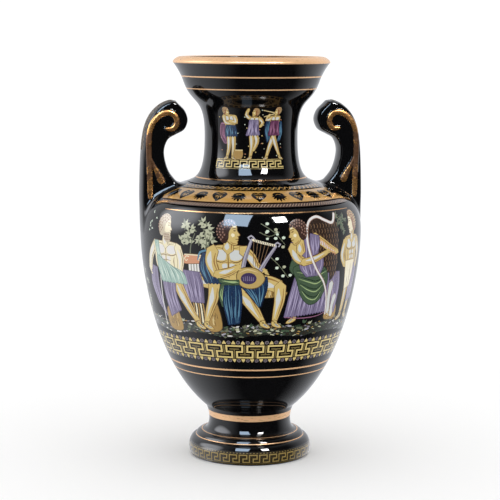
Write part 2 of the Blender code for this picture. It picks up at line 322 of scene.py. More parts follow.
# Colours that come in three tones: plain, light and dark
TONES = {
    "cream": ((0.92, 0.88, 0.75), (0.96, 0.94, 0.88), (0.52, 0.42, 0.30)),
    "violet": ((0.47, 0.43, 0.55), (0.66, 0.62, 0.74), (0.25, 0.20, 0.34)),
    "teal": ((0.61, 0.72, 0.68), (0.81, 0.87, 0.82), (0.40, 0.52, 0.49)),
    "green": ((0.27, 0.35, 0.26), (0.63, 0.72, 0.50), (0.14, 0.22, 0.14)),
    "blue": ((0.10, 0.20, 0.33), (0.33, 0.50, 0.60), (0.05, 0.11, 0.22)),
    "plum": ((0.38, 0.20, 0.32), (0.58, 0.38, 0.50), (0.20, 0.09, 0.17)),
    "leaf": ((0.70, 0.71, 0.60), (0.82, 0.88, 0.80), (0.42, 0.44, 0.35)),
    "stone": ((0.66, 0.53, 0.29), (0.84, 0.76, 0.55), (0.38, 0.30, 0.16)),
}
for family, tones in TONES.items():
    COLOURS.update(zip((family, family + "_light", family + "_dark"), tones))

# Flesh, hair and curls of a head; the listener's flesh is painted paler, a painted reflection of a bright
# veil on the glaze, and the dancers' hair is lighter
HEADS = {
    "dark": ("skin", "hair", "hair_light"),
    "grey": ("cream", "grey_hair", "hair_light"),
    "fair": ("cream", "auburn", "stone_light"),
}
LISTENER_SHEEN = {"skin": "pale_skin", "skin_light": "white", "skin_line": "cream_dark", "skin_shade": "cream_dark"}
AUBURN = {"hair": "auburn", "hair_light": "stone_light"}

# Golds as (metallic, roughness): burnished lines, satin bands, the handles' ridges and the ridges' painted
# dark reflection
GOLDS = {
    "gold": (0.92, 0.2),
    "satin_gold": (0.3, 0.32),
    "ridge_gold": (0.86, 0.26),
    "ridge_worn": (0.7, 0.34),
}
GLAZE_ROUGHNESS = 0.035
GLAZE_IOR = 1.52
PRINT_ROUGHNESS = 0.22
PRINT_COAT = 0.6
MATT_PRINTS = ("edge_brown", "edge_light")
MATT_ROUGHNESS = 0.6
MATT_GLOSS = 0.25

# How roughness wanders, as swing, patches in a metre and how much longer they are round than high
GLAZE_PATCHES = (0.012, 45.0, 1.0)
BRUSH_MARKS = (0.09, 160.0, 5.0)
PRINT_GRAIN = (0.08, 900.0, 1.0)
NOISE_DETAIL = 4.0
NOISE_RANGE = (0.3, 0.7)

# Brushwork, in mm or as shares of a limb's width
PEN_RIM = 0.45
LIMB_RIM = 0.8
LIGHT_ASIDE = 0.28
LIGHT_SHARES = (0.1, 0.46, 0.4, 0.1)
SHADE_ASIDE = 0.62
SHADE_SHARES = (0.05, 0.13, 0.05)
LIMB_TRIM = 8
CLOTH_RIM = 0.4
CLOTH_STEPS = 8
FOLD_WIDTH = 0.62
FOLD_WAVE = 0.3
CAP_WIDTH = 0.4
CAP_LENGTH = 0.9
FAN_LEAVES = 5
FAN_STEP = 44
HEAD_PEN = 0.038
HEAD_PEN_SIZE = 14.5
SMALL_PEN = 0.6
SMALL_FOOT = (0.5, 0.4)

# Flecks behind the dancers on the neck
FLECKS = 46
FLECKS_ACROSS = (-26, 25)
FLECKS_UP = (226, 262)
FLECK_TONES = ("leaf_light", "key_gold", "leaf", "terracotta")

# A head's outlines, as shares of its size: the face looks towards +x
FACE = [(-0.05, 0.38), (0.20, 0.40), (0.30, 0.27), (0.305, 0.12), (0.34, 0.02), (0.42, -0.10), (0.33, -0.15),
        (0.35, -0.23), (0.315, -0.27), (0.335, -0.32), (0.29, -0.37), (0.30, -0.46), (0.17, -0.52),
        (-0.04, -0.40), (-0.17, -0.20), (-0.20, 0.08)]
FACE_LIGHTS = ([(0.10, 0.00), (0.20, -0.04), (0.20, -0.14), (0.10, -0.18), (0.04, -0.08)],
               [(0.16, 0.24), (0.26, 0.24), (0.27, 0.33), (0.16, 0.33)])
FACE_LINES = ([(0.14, 0.09), (0.20, 0.11), (0.27, 0.09)], [(0.10, 0.17), (0.20, 0.20), (0.29, 0.17)],
              [(0.22, -0.265), (0.32, -0.27)], [(0.30, -0.13), (0.34, -0.15)])
JAW_SHADE = [(0.0, -0.36), (0.12, -0.45), (0.24, -0.46)]
BEARD = [(-0.20, -0.02), (-0.06, -0.20), (0.12, -0.24), (0.30, -0.20), (0.30, -0.26), (0.22, -0.30),
         (0.34, -0.36), (0.33, -0.60), (0.14, -0.72), (-0.10, -0.54)]
HAIR = [(0.27, 0.30), (0.26, 0.46), (0.10, 0.58), (-0.16, 0.60), (-0.38, 0.48), (-0.50, 0.22), (-0.48, -0.08),
        (-0.40, -0.34), (-0.20, -0.42), (-0.06, -0.20), (-0.04, 0.02), (0.04, 0.18), (0.15, 0.31)]
CURL_RINGS = ((0.20, 6), (0.33, 9), (0.45, 12))

# The photograph's camera, fitted to the vase's outline
CAMERA_DISTANCE = 1.3074
CAMERA_HEIGHT = 0.3173
CAMERA_TURN = 11.0
CAMERA_LENS = 126.13
CAMERA_SENSOR = 36.0
CAMERA_ROLL = 0.0052
CAMERA_REACH = 50.0
AIM_HEIGHT = 0.15517
AIM_SIDE = -0.0004

# Studio: small soft windows as (name, place, size, watts, colour); all face the vase
LIGHTS = [
    ("blue_window", (-0.80, -1.6, 1.45), (0.95, 1.35), 52.0, (0.60, 0.78, 1.0)),
    ("white_window", (0.69, -1.65, 1.40), (0.46, 0.62), 62.0, (1.0, 1.0, 1.0)),
]
AIM_OF_LIGHTS = Vector((0.0, 0.0, 0.17))
FLOOR_SIZE = 30.0
FLOOR_COLOUR = (0.97, 0.97, 0.97)
BACKDROP_COLOUR = (1.0, 1.0, 1.0, 1.0)
BACKDROP_GLOW = 1.08
WALL_COLOUR = (0.93, 0.95, 1.0, 1.0)
ROOM_GLOW = 0.03

# Soft white walls that the glaze mirrors: direction, where they start and end, and strength
WALLS = [
    ((-0.82, 0.57, 0.0), -0.05, 0.85, 0.95),
    ((0.62, 0.78, 0.0), 0.25, 0.95, 0.9),
    ((0.0, 0.2, 1.0), 0.5, 1.0, 0.5),
    ((-0.895, 0.142, 0.42), 0.84, 0.985, 5.0),
]


def spline_point(p0, p1, p2, p3, t):
    """A point of the smooth curve from p1 to p2, whose neighbours are p0 and p3."""
    return tuple(0.5 * (2 * p1[k] + (p2[k] - p0[k]) * t
                        + (2 * p0[k] - 5 * p1[k] + 4 * p2[k] - p3[k]) * t * t
                        + (3 * p1[k] - p0[k] - 3 * p2[k] + p3[k]) * t ** 3)
                 for k in (0, 1))


def spline(guide, step, first):
    """Points on the curve through all but the guide's ends; each stretch starts at point 0 or 1."""
    path = []
    for corners in zip(guide, guide[1:], guide[2:], guide[3:]):
        count = max(1, round(math.dist(corners[1], corners[2]) / step))
        path += [spline_point(*corners, i / count) for i in range(first, count + first)]
    return path


def smooth_path(points, step=CURVE_STEP):
    """Points about a step apart on a smooth curve through the given ones, both ends kept."""
    start, end = [tuple(2 * points[a][k] - points[b][k] for k in (0, 1)) for a, b in ((0, 1), (-1, -2))]
    return [points[0]] + spline([start] + list(points) + [end], step, 1)


def blob(points, step=BLOB_STEP):
    """A closed smooth outline through the given points."""
    return spline([points[-1]] + list(points) + points[:2], step, 0)


def walked(path):
    """Length along a path at each of its points."""
    return np.concatenate([[0.0], np.cumsum(np.hypot(*np.diff(path, axis=0).T))])


def run_and_side(path):
    """Unit steps along a path, and to its left, at each of its points."""
    run = np.gradient(path, axis=0)
    run /= np.maximum(np.hypot(*run.T), 1e-9)[:, None]
    return run, np.stack([-run[:, 1], run[:, 0]], axis=1)


def ribbon(points, widths, step=RIBBON_STEP, smooth=True):
    """A strip round a path, with widths shared out along it, and rounded ends where it is wide."""
    path = np.array(smooth_path(points, step) if smooth else points, float)
    lengths = walked(path)
    half = np.interp(lengths / lengths[-1], np.linspace(0.0, 1.0, len(widths)), widths) / 2
    run, side = run_and_side(path)
    side = side * half[:, None]
    left = path + side
    right = path - side
    end_cap = [path[-1] + run[-1] * half[-1] * CAP_LENGTH] if half[-1] > CAP_WIDTH else []
    start_cap = [path[0] - run[0] * half[0] * CAP_LENGTH] if half[0] > CAP_WIDTH else []
    return start_cap + list(left) + end_cap + list(right[::-1])


def rectangle(left, right, low, high):
    """A rectangle's corners."""
    return [(left, low), (right, low), (right, high), (left, high)]


def oval(centre, radii, count=8, turn=0.0):
    """A polygon of some corners round an ellipse."""
    angles = np.radians(np.arange(count) * 360.0 / count + turn)
    return [(centre[0] + radii[0] * math.cos(a), centre[1] + radii[1] * math.sin(a)) for a in angles]


def moved(points, x=0.0, y=0.0, turn=0.0, size=1.0):
    """Points turned by degrees, scaled and shifted."""
    cos = math.cos(math.radians(turn))
    sin = math.sin(math.radians(turn))
    return [(x + size * (px * cos - py * sin), y + size * (px * sin + py * cos)) for px, py in points]


def signed_area(polygon):
    """Area inside a polygon, negative where it runs clockwise."""
    return sum(a[0] * b[1] - b[0] * a[1] for a, b in zip(polygon, polygon[1:] + polygon[:1])) / 2


def bezier(start, end, start_angle, end_angle, pulls, steps=48):
    """Points after start on a cubic curve whose ends run at the given angles in degrees."""
    a = math.radians(start_angle)
    b = math.radians(end_angle)
    first = (start[0] + pulls[0] * math.cos(a), start[1] + pulls[0] * math.sin(a))
    second = (end[0] - pulls[1] * math.cos(b), end[1] - pulls[1] * math.sin(b))
    points = []
    for i in range(1, steps + 1):
        t = i / steps
        weights = ((1 - t) ** 3, 3 * (1 - t) ** 2 * t, 3 * (1 - t) * t * t, t ** 3)
        corners = (start, first, second, end)
        points.append(tuple(sum(w * c[k] for w, c in zip(weights, corners)) for k in (0, 1)))
    return points


def arc(centre, radii, start_deg, end_deg, steps=20):
    """Points of an elliptical arc."""
    turns = np.radians(np.linspace(start_deg, end_deg, steps + 1))
    return [(centre[0] + radii[0] * math.cos(t), centre[1] + radii[1] * math.sin(t)) for t in turns]


def outer_stations():
    """The outside, from the edge of the foot ring up to the rim."""
    points = arc((FOOT_RING_RADIUS, FOOT_WIDEST_Z), (FOOT_RADIUS - FOOT_RING_RADIUS, FOOT_WIDEST_Z), -90, 0)
    points += arc((ROLL_RADIUS, FOOT_WIDEST_Z), (FOOT_RADIUS - ROLL_RADIUS, ROLL_Z - FOOT_WIDEST_Z), 0, 90)
    points += arc((ROLL_TOP_RADIUS, ROLL_Z),
                  (ROLL_RADIUS - ROLL_GROOVE - ROLL_TOP_RADIUS, ROLL_TOP_Z - ROLL_Z), 0, 90)
    points += arc((ROLL_TOP_RADIUS, WAIST_Z),
                  (WAIST_RADIUS - ROLL_TOP_RADIUS, ROLL_TOP_Z + ROLL_GROOVE - WAIST_Z), 90, 0)
    waist = (WAIST_RADIUS, WAIST_Z)
    start = (BODY_START_RADIUS, BODY_START_Z)
    widest = (BODY_RADIUS, BODY_WIDEST_Z)
    shoulder = (SHOULDER_RADIUS, SHOULDER_Z)
    neck = (NECK_RADIUS, NECK_Z)
    mouth = (MOUTH_RADIUS, MOUTH_Z)
    lip = (LIP_RADIUS, LIP_EDGE_Z)
    points += bezier(waist, start, 90, LEDGE_SLOPE, LEDGE_PULL)
    points += bezier(start, widest, BODY_START_SLOPE, 90, BODY_PULL)
    points += bezier(widest, shoulder, 90, 180 - SHOULDER_SLOPE, SHOULDER_PULL)
    points += bezier(shoulder, neck, 180 - SHOULDER_SLOPE, 90, NECK_PULL)
    points += bezier(neck, mouth, 90, MOUTH_SLOPE, FLARE_PULL)
    points += bezier(mouth, lip, MOUTH_SLOPE, LIP_SLOPE, LIP_PULL)
    points += bezier(lip, (RIM_RADIUS, HEIGHT), LIP_SLOPE, 180, RIM_PULL)
    return points


class Profile:
    """An outline read by the length along it: radius, height and outward normal."""

    def __init__(self, stations):
        points = [np.array(stations[0], float)]
        for station in stations[1:]:
            if math.dist(station, points[-1]) > TINY:
                points.append(np.array(station, float))
        points = np.array(points)
        along = walked(points)
        count = int(along[-1] / TABLE_STEP) + 1
        self.along = np.linspace(0.0, along[-1], count)
        self.radius = np.interp(self.along, along, points[:, 0])
        self.height = np.interp(self.along, along, points[:, 1])
        kernel = np.ones(3) / 3
        rise = np.convolve(np.gradient(self.height), kernel, "same")
        run = np.convolve(np.gradient(self.radius), kernel, "same")
        self.turn = np.unwrap(np.arctan2(rise, run))
        self.turn[0] = self.turn[1]
        self.turn[-1] = self.turn[-2]
        self.length = self.along[-1]

    def at(self, along):
        """Radius, height and the normal's two parts at a length."""
        turn = np.interp(along, self.along, self.turn)
        return (np.interp(along, self.along, self.radius), np.interp(along, self.along, self.height),
                np.sin(turn), -np.cos(turn))

    def at_height(self, height):
        """Length along the outline at a height, for the stretch that rises all the way."""
        return float(np.interp(height, self.height, self.along))

    def rows(self, start, end, step=ROW_STEP, turn=ROW_TURN):
        """Places between two lengths, close enough for the curve that lies there."""
        inner = (self.along > start) & (self.along < end)
        places = np.concatenate([[start], self.along[inner], [end]])
        turns = np.interp(places, self.along, self.turn)
        strides = np.diff(places) / step + np.abs(np.diff(turns)) / math.radians(turn)
        strode = np.concatenate([[0.0], np.cumsum(strides)])
        count = max(1, int(math.ceil(strode[-1])))
        return np.interp(np.linspace(0.0, strode[-1], count + 1), strode, places)


OUTSIDE = Profile(outer_stations())


def inner_stations():
    """The inside, from the rim down to the middle of the floor, one wall inside the outside."""
    rim = (RIM_RADIUS, HEIGHT)
    edge = (RIM_RADIUS - RIM_INNER_IN, HEIGHT - RIM_INNER_DOWN)
    points = [rim] + bezier(rim, edge, 180, RIM_INNER_SLOPE, RIM_INNER_PULL, RIM_INNER_POINTS)
    start = OUTSIDE.at_height(HEIGHT - INNER_START_DOWN)
    end = OUTSIDE.at_height(INNER_FLOOR_Z + INNER_END_RISE)
    for along in np.arange(start, end, -INNER_STEP):
        radius, height, normal_r, normal_z = OUTSIDE.at(along)
        points.append((radius - WALL * normal_r, height - WALL * normal_z))
    points += arc((INNER_FLOOR_RADIUS, points[-1][1]),
                  (points[-1][0] - INNER_FLOOR_RADIUS, points[-1][1] - INNER_FLOOR_Z), 0, -90)[1:]
    return points + [(0.0, INNER_FLOOR_Z - INNER_FLOOR_DISH)]


def recess_stations():
    """The hollow under the foot, from the axis out to the foot ring's outer edge."""
    top = (RECESS_TOP_RADIUS - RECESS_CORNER, RECESS_DEPTH - RECESS_CORNER)
    corner = arc(top, (RECESS_CORNER, RECESS_CORNER), 90, 0)
    ring_inner = FOOT_RING_RADIUS - RECESS_RING
    return ([(0.0, RECESS_DEPTH)] + corner
            + [(RECESS_RADIUS, RECESS_MOUTH_Z), (ring_inner, 0.0), (FOOT_RING_RADIUS, 0.0)])


class Skin:
    """Collects the faces of the whole vase, each with the name of its colour."""

    def __init__(self):
        self.points = []
        self.normals = []
        self.faces = []
        self.colours = []

    def add(self, points, normals, faces, colours):
        """Takes over some faces, numbered by their own points."""
        first = len(self.points)
        self.points.extend(map(tuple, points))
        self.normals.extend(map(tuple, normals))
        self.faces.extend(tuple(first + i for i in face) for face in faces)
        self.colours.extend(colours)


def turned(degrees, along, profile):
    """Points and normals of the turned surface, by the angle from the painting's middle."""
    angle = np.radians(np.asarray(degrees) + ART_TURN)
    radius, height, normal_r, normal_z = profile.at(along)
    sin = np.sin(angle)
    cos = np.cos(angle)
    points = np.stack([radius * sin, -radius * cos, height + 0 * angle], axis=-1)
    normals = np.stack([normal_r * sin, -normal_r * cos, normal_z + 0 * angle], axis=-1)
    return points, normals


def plain_rows(skin, profile, rows, colours):
    """Plain turned bands between rows; a row on the axis is one point."""
    degrees = np.arange(COLUMNS) * 360.0 / COLUMNS - 180.0
    points = []
    normals = []
    starts = []
    for along in rows:
        starts.append(len(points))
        on_axis = profile.at(along)[0] < TINY
        row_points, row_normals = turned([0.0] if on_axis else degrees, along, profile)
        points.extend(row_points)
        normals.extend(row_normals)
    starts.append(len(points))
    faces = []
    face_colours = []
    for row, colour in enumerate(colours):
        low = range(starts[row], starts[row + 1])
        high = range(starts[row + 1], starts[row + 2])
        for i in range(COLUMNS):
            j = (i + 1) % COLUMNS
            corners = [low[i % len(low)], low[j % len(low)], high[j % len(high)], high[i % len(high)]]
            faces.append(tuple(sorted(set(corners), key=corners.index)))
            face_colours.append(colour)
    skin.add(points, normals, faces, face_colours)


def striped_band(skin, start, end, stripes=()):
    """A black band of the outside with stripes, each (start, end, colour) by length along it."""
    edges = sorted({start, end} | {v for stripe in stripes for v in stripe[:2]})
    rows = [start]
    colours = []
    for low, high in zip(edges, edges[1:]):
        places = OUTSIDE.rows(low, high)
        rows.extend(places[1:])
        middle = (low + high) / 2
        colour = "black"
        for stripe_start, stripe_end, stripe_colour in stripes:
            if stripe_start < middle < stripe_end:
                colour = stripe_colour
        colours.extend([colour] * (len(places) - 1))
    plain_rows(skin, OUTSIDE, rows, colours)


def tile(border, holes, art, grid):
    """Triangles of a flat black patch with shapes painted over each other in their order."""
    coords = []
    outlines = []
    for polygon in [border] + holes + [shape for _, shape in art]:
        ring = list(polygon) if signed_area(list(polygon)) > 0 else list(polygon)[::-1]
        outlines.append(list(range(len(coords), len(coords) + len(ring))))
        coords.extend(ring)
    coords.extend(grid)
    vectors = [Vector(p) for p in coords]
    points, _, triangles, _, _, layers = delaunay_2d_cdt(vectors, [], outlines, 0, JOIN_REACH)
    kept = []
    colours = []
    for triangle, covering in zip(triangles, layers):
        if 0 not in covering or any(1 <= layer <= len(holes) for layer in covering):
            continue
        top = max(covering) - 1 - len(holes)
        kept.append(tuple(triangle))
        colours.append(art[top][0] if top >= 0 else "black")
    return [tuple(p) for p in points], kept, colours


def painted_band(skin, chart, painting, holes=()):
    """A band of the outside with art; a chart is its two heights."""
    start, end = map(OUTSIDE.at_height, chart)
    scale = math.radians(1.0) * painting.reference
    rows = OUTSIDE.rows(start, end)
    column = 360.0 / COLUMNS
    edge = [k * column - 180.0 for k in range(COLUMNS + 1)]
    border = [(a * scale, start) for a in edge]
    border += [(180.0 * scale, u) for u in rows[1:-1]]
    border += [(a * scale, end) for a in reversed(edge)]
    border += [(-180.0 * scale, u) for u in reversed(rows[1:-1])]
    grid = []
    for number, along in enumerate(rows[1:-1]):
        shift = 0.5 if number % 2 else 0.0
        grid.extend(((a + shift * column) * scale, along) for a in edge[1:-2])
    holes = [[(a * scale, u) for a, u in hole] for hole in holes]
    shapes, triangles, colours = tile(border, holes, painting.wrapped(), grid)
    flat = np.array(shapes)
    points, normals = turned(flat[:, 0] / scale, flat[:, 1], OUTSIDE)
    skin.add(points, normals, triangles, colours)


# The handle as a field: negative inside the clay, zero on its surface
HANDLE_OUTLINE = np.array(smooth_path(HANDLE_OUTER) + smooth_path(HANDLE_INNER) + HANDLE_BURIED)
FLANK = (OUTSIDE.height > FLANK_REACH[0]) & (OUTSIDE.height < FLANK_REACH[1])
FLANK_Z = OUTSIDE.height[FLANK]
FLANK_RADIUS = OUTSIDE.radius[FLANK]
FLANK_NORMAL = np.sin(OUTSIDE.turn[FLANK])


def scroll_ridge():
    """The scroll's middle line, with its half width at each point."""
    path = np.array(smooth_path(SCROLL_PATH))
    along = np.linspace(0.0, 1.0, len(path))
    share = np.minimum(SCROLL_ENDS[0] + SWELL_RATE * along, SCROLL_ENDS[1] + SWELL_RATE * (1 - along))
    return path, np.minimum(1.0, share) * SCROLL_WIDTH / 2


def branch_ridge():
    """The branch's middle line, with its half width at each point."""
    path = np.array(smooth_path(BRANCH_PATH))
    return path, np.linspace(BRANCH_START, 1.0, len(path)) * BRANCH_WIDTH / 2


RIDGES = [scroll_ridge(), branch_ridge()]


def segment_distances(x, z, starts, ends):
    """Distances from points to segments, and how far along each segment the nearest place is."""
    run = ends - starts
    dx = x[:, None] - starts[None, :, 0]
    dz = z[:, None] - starts[None, :, 1]
    along = (dx * run[:, 0] + dz * run[:, 1]) / np.maximum((run ** 2).sum(axis=1), 1e-12)
    along = np.clip(along, 0.0, 1.0)
    return np.hypot(dx - along * run[:, 0], dz - along * run[:, 1]), along


def outline_distance(x, z):
    """Signed distance to the handle's outline in its own plane, negative inside."""
    starts = HANDLE_OUTLINE
    ends = np.roll(HANDLE_OUTLINE, -1, axis=0)
    distance = segment_distances(x, z, starts, ends)[0].min(axis=1)
    crosses = (starts[None, :, 1] > z[:, None]) != (ends[None, :, 1] > z[:, None])
    rise = np.where(np.abs(ends[:, 1] - starts[:, 1]) < 1e-9, 1e-9, ends[:, 1] - starts[:, 1])
    at_x = starts[:, 0] + (z[:, None] - starts[None, :, 1]) * (ends[:, 0] - starts[:, 0]) / rise
    inside = (crosses & (x[:, None] < at_x)).sum(axis=1) % 2 == 1
    return np.where(inside, -distance, distance)


def ridge_share(x, z):
    """Distance from the nearest ridge's middle as a share of its half width, and that width."""
    best = np.full(len(x), 1e9)
    width = np.ones(len(x))
    for path, halves in RIDGES:
        distance, along = segment_distances(x, z, path[:-1], path[1:])
        local = halves[None, :-1] * (1 - along) + halves[None, 1:] * along
        share = distance / local
        nearest = share.argmin(axis=1)
        rows = np.arange(len(x))
        closer = share[rows, nearest] < best
        best = np.where(closer, share[rows, nearest], best)
        width = np.where(closer, local[rows, nearest], width)
    return best, width


def in_chunks(function, *arrays):
    """Calls a function on slices of long arrays, to keep its tables small."""
    flat = [np.ravel(a) for a in arrays]
    parts = [function(*(a[i:i + CHUNK] for a in flat)) for i in range(0, len(flat[0]), CHUNK)]
    if isinstance(parts[0], tuple):
        return tuple(np.concatenate(p).reshape(np.shape(arrays[0])) for p in zip(*parts))
    return np.concatenate(parts).reshape(np.shape(arrays[0]))


def planar_parts(x, z):
    """The parts of the handle's field that depend on its own plane alone."""
    outline = in_chunks(outline_distance, x, z)
    share, _ = in_chunks(ridge_share, x, z)
    return outline, RIDGE_RISE * np.sqrt(np.clip(1 - share ** RIDGE_FLATNESS, 0.0, 1.0))


def handle_gap(y, outline, rise):
    """Distance to the handle: its outline through its depth, bulging and with rounded edges."""
    half = HANDLE_DEPTH / 2
    edge = outline + HANDLE_BULGE * (y / half) ** 2 + HANDLE_EDGE
    face = np.abs(y) - half - rise + HANDLE_EDGE
    outside = np.hypot(np.maximum(edge, 0.0), np.maximum(face, 0.0))
    return outside + np.minimum(np.maximum(edge, face), 0.0) - HANDLE_EDGE


def body_gap(x, y, z):
    """Distance to the turned body near its outside."""
    radius = np.hypot(x, y)
    return (radius - np.interp(z, FLANK_Z, FLANK_RADIUS)) * np.interp(z, FLANK_Z, FLANK_NORMAL)


def blended(body, handle):
    """The body and a handle as one lump of clay, with a fillet between them."""
    share = np.maximum(HANDLE_FILLET - np.abs(body - handle), 0.0) / HANDLE_FILLET
    return np.minimum(body, handle) - share ** 2 * HANDLE_FILLET / 4


def clay(points):
    """Value of the joined field at each point."""
    x, y, z = points.T
    outline, rise = planar_parts(x, z)
    return blended(body_gap(x, y, z), handle_gap(y, outline, rise))


def clay_slope(points):
    """The field's gradient; a point's planar parts are shared by its steps along y."""
    x, y, z = points.T
    outline, rise = planar_parts(x, z)
    slope = np.empty_like(points)
    ahead, behind = (blended(body_gap(x, y + step, z), handle_gap(y + step, outline, rise))
                     for step in (SLOPE_REACH, -SLOPE_REACH))
    slope[:, 1] = ahead - behind
    for axis in (0, 2):
        step = np.zeros(3)
        step[axis] = SLOPE_REACH
        slope[:, axis] = clay(points + step) - clay(points - step)
    return slope / (2 * SLOPE_REACH)


def settle(points, rounds=2):
    """Moves points onto the clay's surface and returns them with their normals."""
    for _ in range(rounds):
        slope = clay_slope(points)
        step = clay(points)[:, None] * slope / np.maximum((slope ** 2).sum(axis=1), 1e-6)[:, None]
        length = np.linalg.norm(step, axis=1)[:, None]
        points = points - step * np.minimum(1.0, NET_STEP / np.maximum(length, 1e-9))
    slope = clay_slope(points)
    return points, slope / np.linalg.norm(slope, axis=1)[:, None]


def cell_points(values, low, step):
    """A point in each grid cell that the surface passes through, and each cell's point number."""
    cells = tuple(n - 1 for n in values.shape)
    total = np.zeros(cells + (3,))
    hits = np.zeros(cells)
    for axis in range(3):
        others = [a for a in range(3) if a != axis]
        for offsets in ((0, 0), (0, 1), (1, 0), (1, 1)):
            start = [slice(0, n) for n in cells]
            for other, offset in zip(others, offsets):
                start[other] = slice(offset, cells[other] + offset)
            stop = list(start)
            stop[axis] = slice(1, cells[axis] + 1)
            a = values[tuple(start)]
            b = values[tuple(stop)]
            crossing = (a < 0) != (b < 0)
            place = np.zeros(cells + (3,))
            place[..., axis] = np.where(crossing, a / np.where(crossing, a - b, 1.0), 0.0)
            place[..., others] = offsets
            total += place * crossing[..., None]
            hits += crossing
    used = hits > 0
    numbers = np.full(cells, -1)
    numbers[used] = np.arange(used.sum())
    return low + step * (np.argwhere(used) + total[used] / hits[used][:, None]), numbers


def net_quads(values, numbers):
    """A quad round each grid edge that crosses the surface, facing out of the clay."""
    cells = numbers.shape
    quads = []
    for axis in range(3):
        e = (axis + 1) % 3
        f = (axis + 2) % 3
        start = [slice(0, n) for n in values.shape]
        start[axis] = slice(0, cells[axis])
        stop = list(start)
        stop[axis] = slice(1, cells[axis] + 1)
        inside = values[tuple(start)] < 0
        where = np.argwhere(inside != (values[tuple(stop)] < 0))
        within = (where[:, (e, f)] > 0) & (where[:, (e, f)] < (cells[e], cells[f]))
        where = where[within.all(axis=1)]
        corners = []
        for shift_e, shift_f in ((-1, -1), (0, -1), (0, 0), (-1, 0)):
            cell = where.copy()
            cell[:, e] += shift_e
            cell[:, f] += shift_f
            corners.append(numbers[tuple(cell.T)])
        ring = np.stack(corners, axis=1)
        flip = ~inside[tuple(where.T)]
        ring[flip] = ring[flip][:, ::-1]
        quads.append(ring)
    return np.concatenate(quads)


def split_quads(points, quads):
    """Each quad as two triangles across its shorter diagonal."""
    first = np.linalg.norm(points[quads[:, 0]] - points[quads[:, 2]], axis=1)
    second = np.linalg.norm(points[quads[:, 1]] - points[quads[:, 3]], axis=1)
    short = first <= second
    a = np.where(short[:, None], quads[:, [0, 1, 2]], quads[:, [0, 1, 3]])
    b = np.where(short[:, None], quads[:, [0, 2, 3]], quads[:, [1, 2, 3]])
    return np.concatenate([a, b])


def cut_mesh(points, triangles, values, snap=SNAP):
    """Splits triangles along the line where values, one for each point, pass zero."""
    points = [tuple(p) for p in points]
    values = [0.0 if abs(v) < snap else float(v) for v in values]
    middles = {}
    result = []

    def middle(a, b):
        key = (min(a, b), max(a, b))
        if key not in middles:
            share = values[key[0]] / (values[key[0]] - values[key[1]])
            middles[key] = len(points)
            points.append(tuple(s + share * (e - s) for s, e in zip(points[key[0]], points[key[1]])))
            values.append(0.0)
        return middles[key]

    for triangle in triangles:
        signs = [(values[i] > 0) - (values[i] < 0) for i in triangle]
        if min(signs) >= 0 or max(signs) <= 0:
            result.append(tuple(triangle))
            continue
        ring = []
        for i in range(3):
            ring.append(triangle[i])
            if signs[i] * signs[(i + 1) % 3] < 0:
                ring.append(middle(triangle[i], triangle[(i + 1) % 3]))
        zeros = [i for i, v in enumerate(ring) if values[v] == 0.0]
        ring = ring[zeros[0]:] + ring[:zeros[0]]
        other = (zeros[1] - zeros[0]) % len(ring)
        for part in (ring[:other + 1], ring[other:] + ring[:1]):
            result.extend((part[0], part[i], part[i + 1]) for i in range(1, len(part) - 1))
    return np.array(points), result, np.array(values)


def edge_rope(points):
    """Two values at each point: negative on the outer face's rope print, and on its light strands."""
    path = np.array(smooth_path(HANDLE_OUTER))
    lengths = walked(path)
    distance, along = segment_distances(points[:, 0], points[:, 2], path[:-1], path[1:])
    nearest = distance.argmin(axis=1)
    rows = np.arange(len(points))
    place = lengths[nearest] + along[rows, nearest] * (lengths[nearest + 1] - lengths[nearest])
    band = np.maximum(np.abs(points[:, 1]) - EDGE_ROPE_HALF,
                      distance[rows, nearest] - HANDLE_BULGE - EDGE_ROPE_REACH)
    band = np.maximum(band, np.maximum(EDGE_ROPE_START - place, place - EDGE_ROPE_END))
    turn = (place - EDGE_ROPE_SLANT * points[:, 1]) * 2 * math.pi / EDGE_ROPE_PITCH
    return band, np.cos(turn) * EDGE_ROPE_PITCH / 4


def cut_rope(points, triangles, raised):
    """Cuts the handle's triangles along the rope print; returns all three values at each point."""
    count = len(points)
    points, triangles, rope = cut_mesh(points, triangles, edge_rope(points)[0])
    raised = np.concatenate([raised, np.ones(len(points) - count)])
    strand = np.where(rope < 0, edge_rope(points)[1], 0.0)
    printed = [t for t in triangles if min(rope[i] for i in t) < 0]
    others = [t for t in triangles if min(rope[i] for i in t) >= 0]
    count = len(points)
    points, printed, strand = cut_mesh(points, printed, strand, STRAND_SNAP)
    more = np.ones(len(points) - count)
    return points, others + printed, np.concatenate([raised, more]), np.concatenate([rope, -more]), strand


def border_loop(triangles):
    """The points round the open edge of some triangles, in order."""
    edges = {(t[i], t[(i + 1) % 3]) for t in triangles for i in range(3)}
    following = {a: b for a, b in edges if (b, a) not in edges}
    loop = [next(iter(following))]
    while following[loop[-1]] != loop[0]:
        loop.append(following[loop[-1]])
    assert len(loop) == len(following), "more than one open edge"
    return loop


def ridge_colour(place):
    """Gilding on a ridge, with a painted dark reflection in brown patches up the middle of the stem."""
    x, y, z = place
    patches = (math.sin(0.9 * x + 0.5 * z) + math.sin(0.6 * z - 1.1 * abs(y))
               + 0.8 * math.sin(1.7 * z + 2.1 * x))
    along = 1.0 - abs(z - RIDGE_REFLECTION_Z) / RIDGE_REFLECTION_HALF
    return "ridge_worn" if patches + RIDGE_REFLECTION_PULL * along > 0.0 else "ridge_gold"


def handle_colour(corners, raised, rope, strand):
    """Colour of a triangle of the handle, from its corners' places and values."""
    if rope.min() < 0:
        return "edge_light" if strand.min() < 0 else "edge_brown"
    return ridge_colour(corners.mean(axis=0)) if raised.min() < 0 else "black"


def compacted(points, faces):
    """Points and faces without the points that no face uses."""
    used = np.unique(faces)
    numbers = np.full(len(points), -1)
    numbers[used] = np.arange(len(used))
    return points[used], numbers[faces]


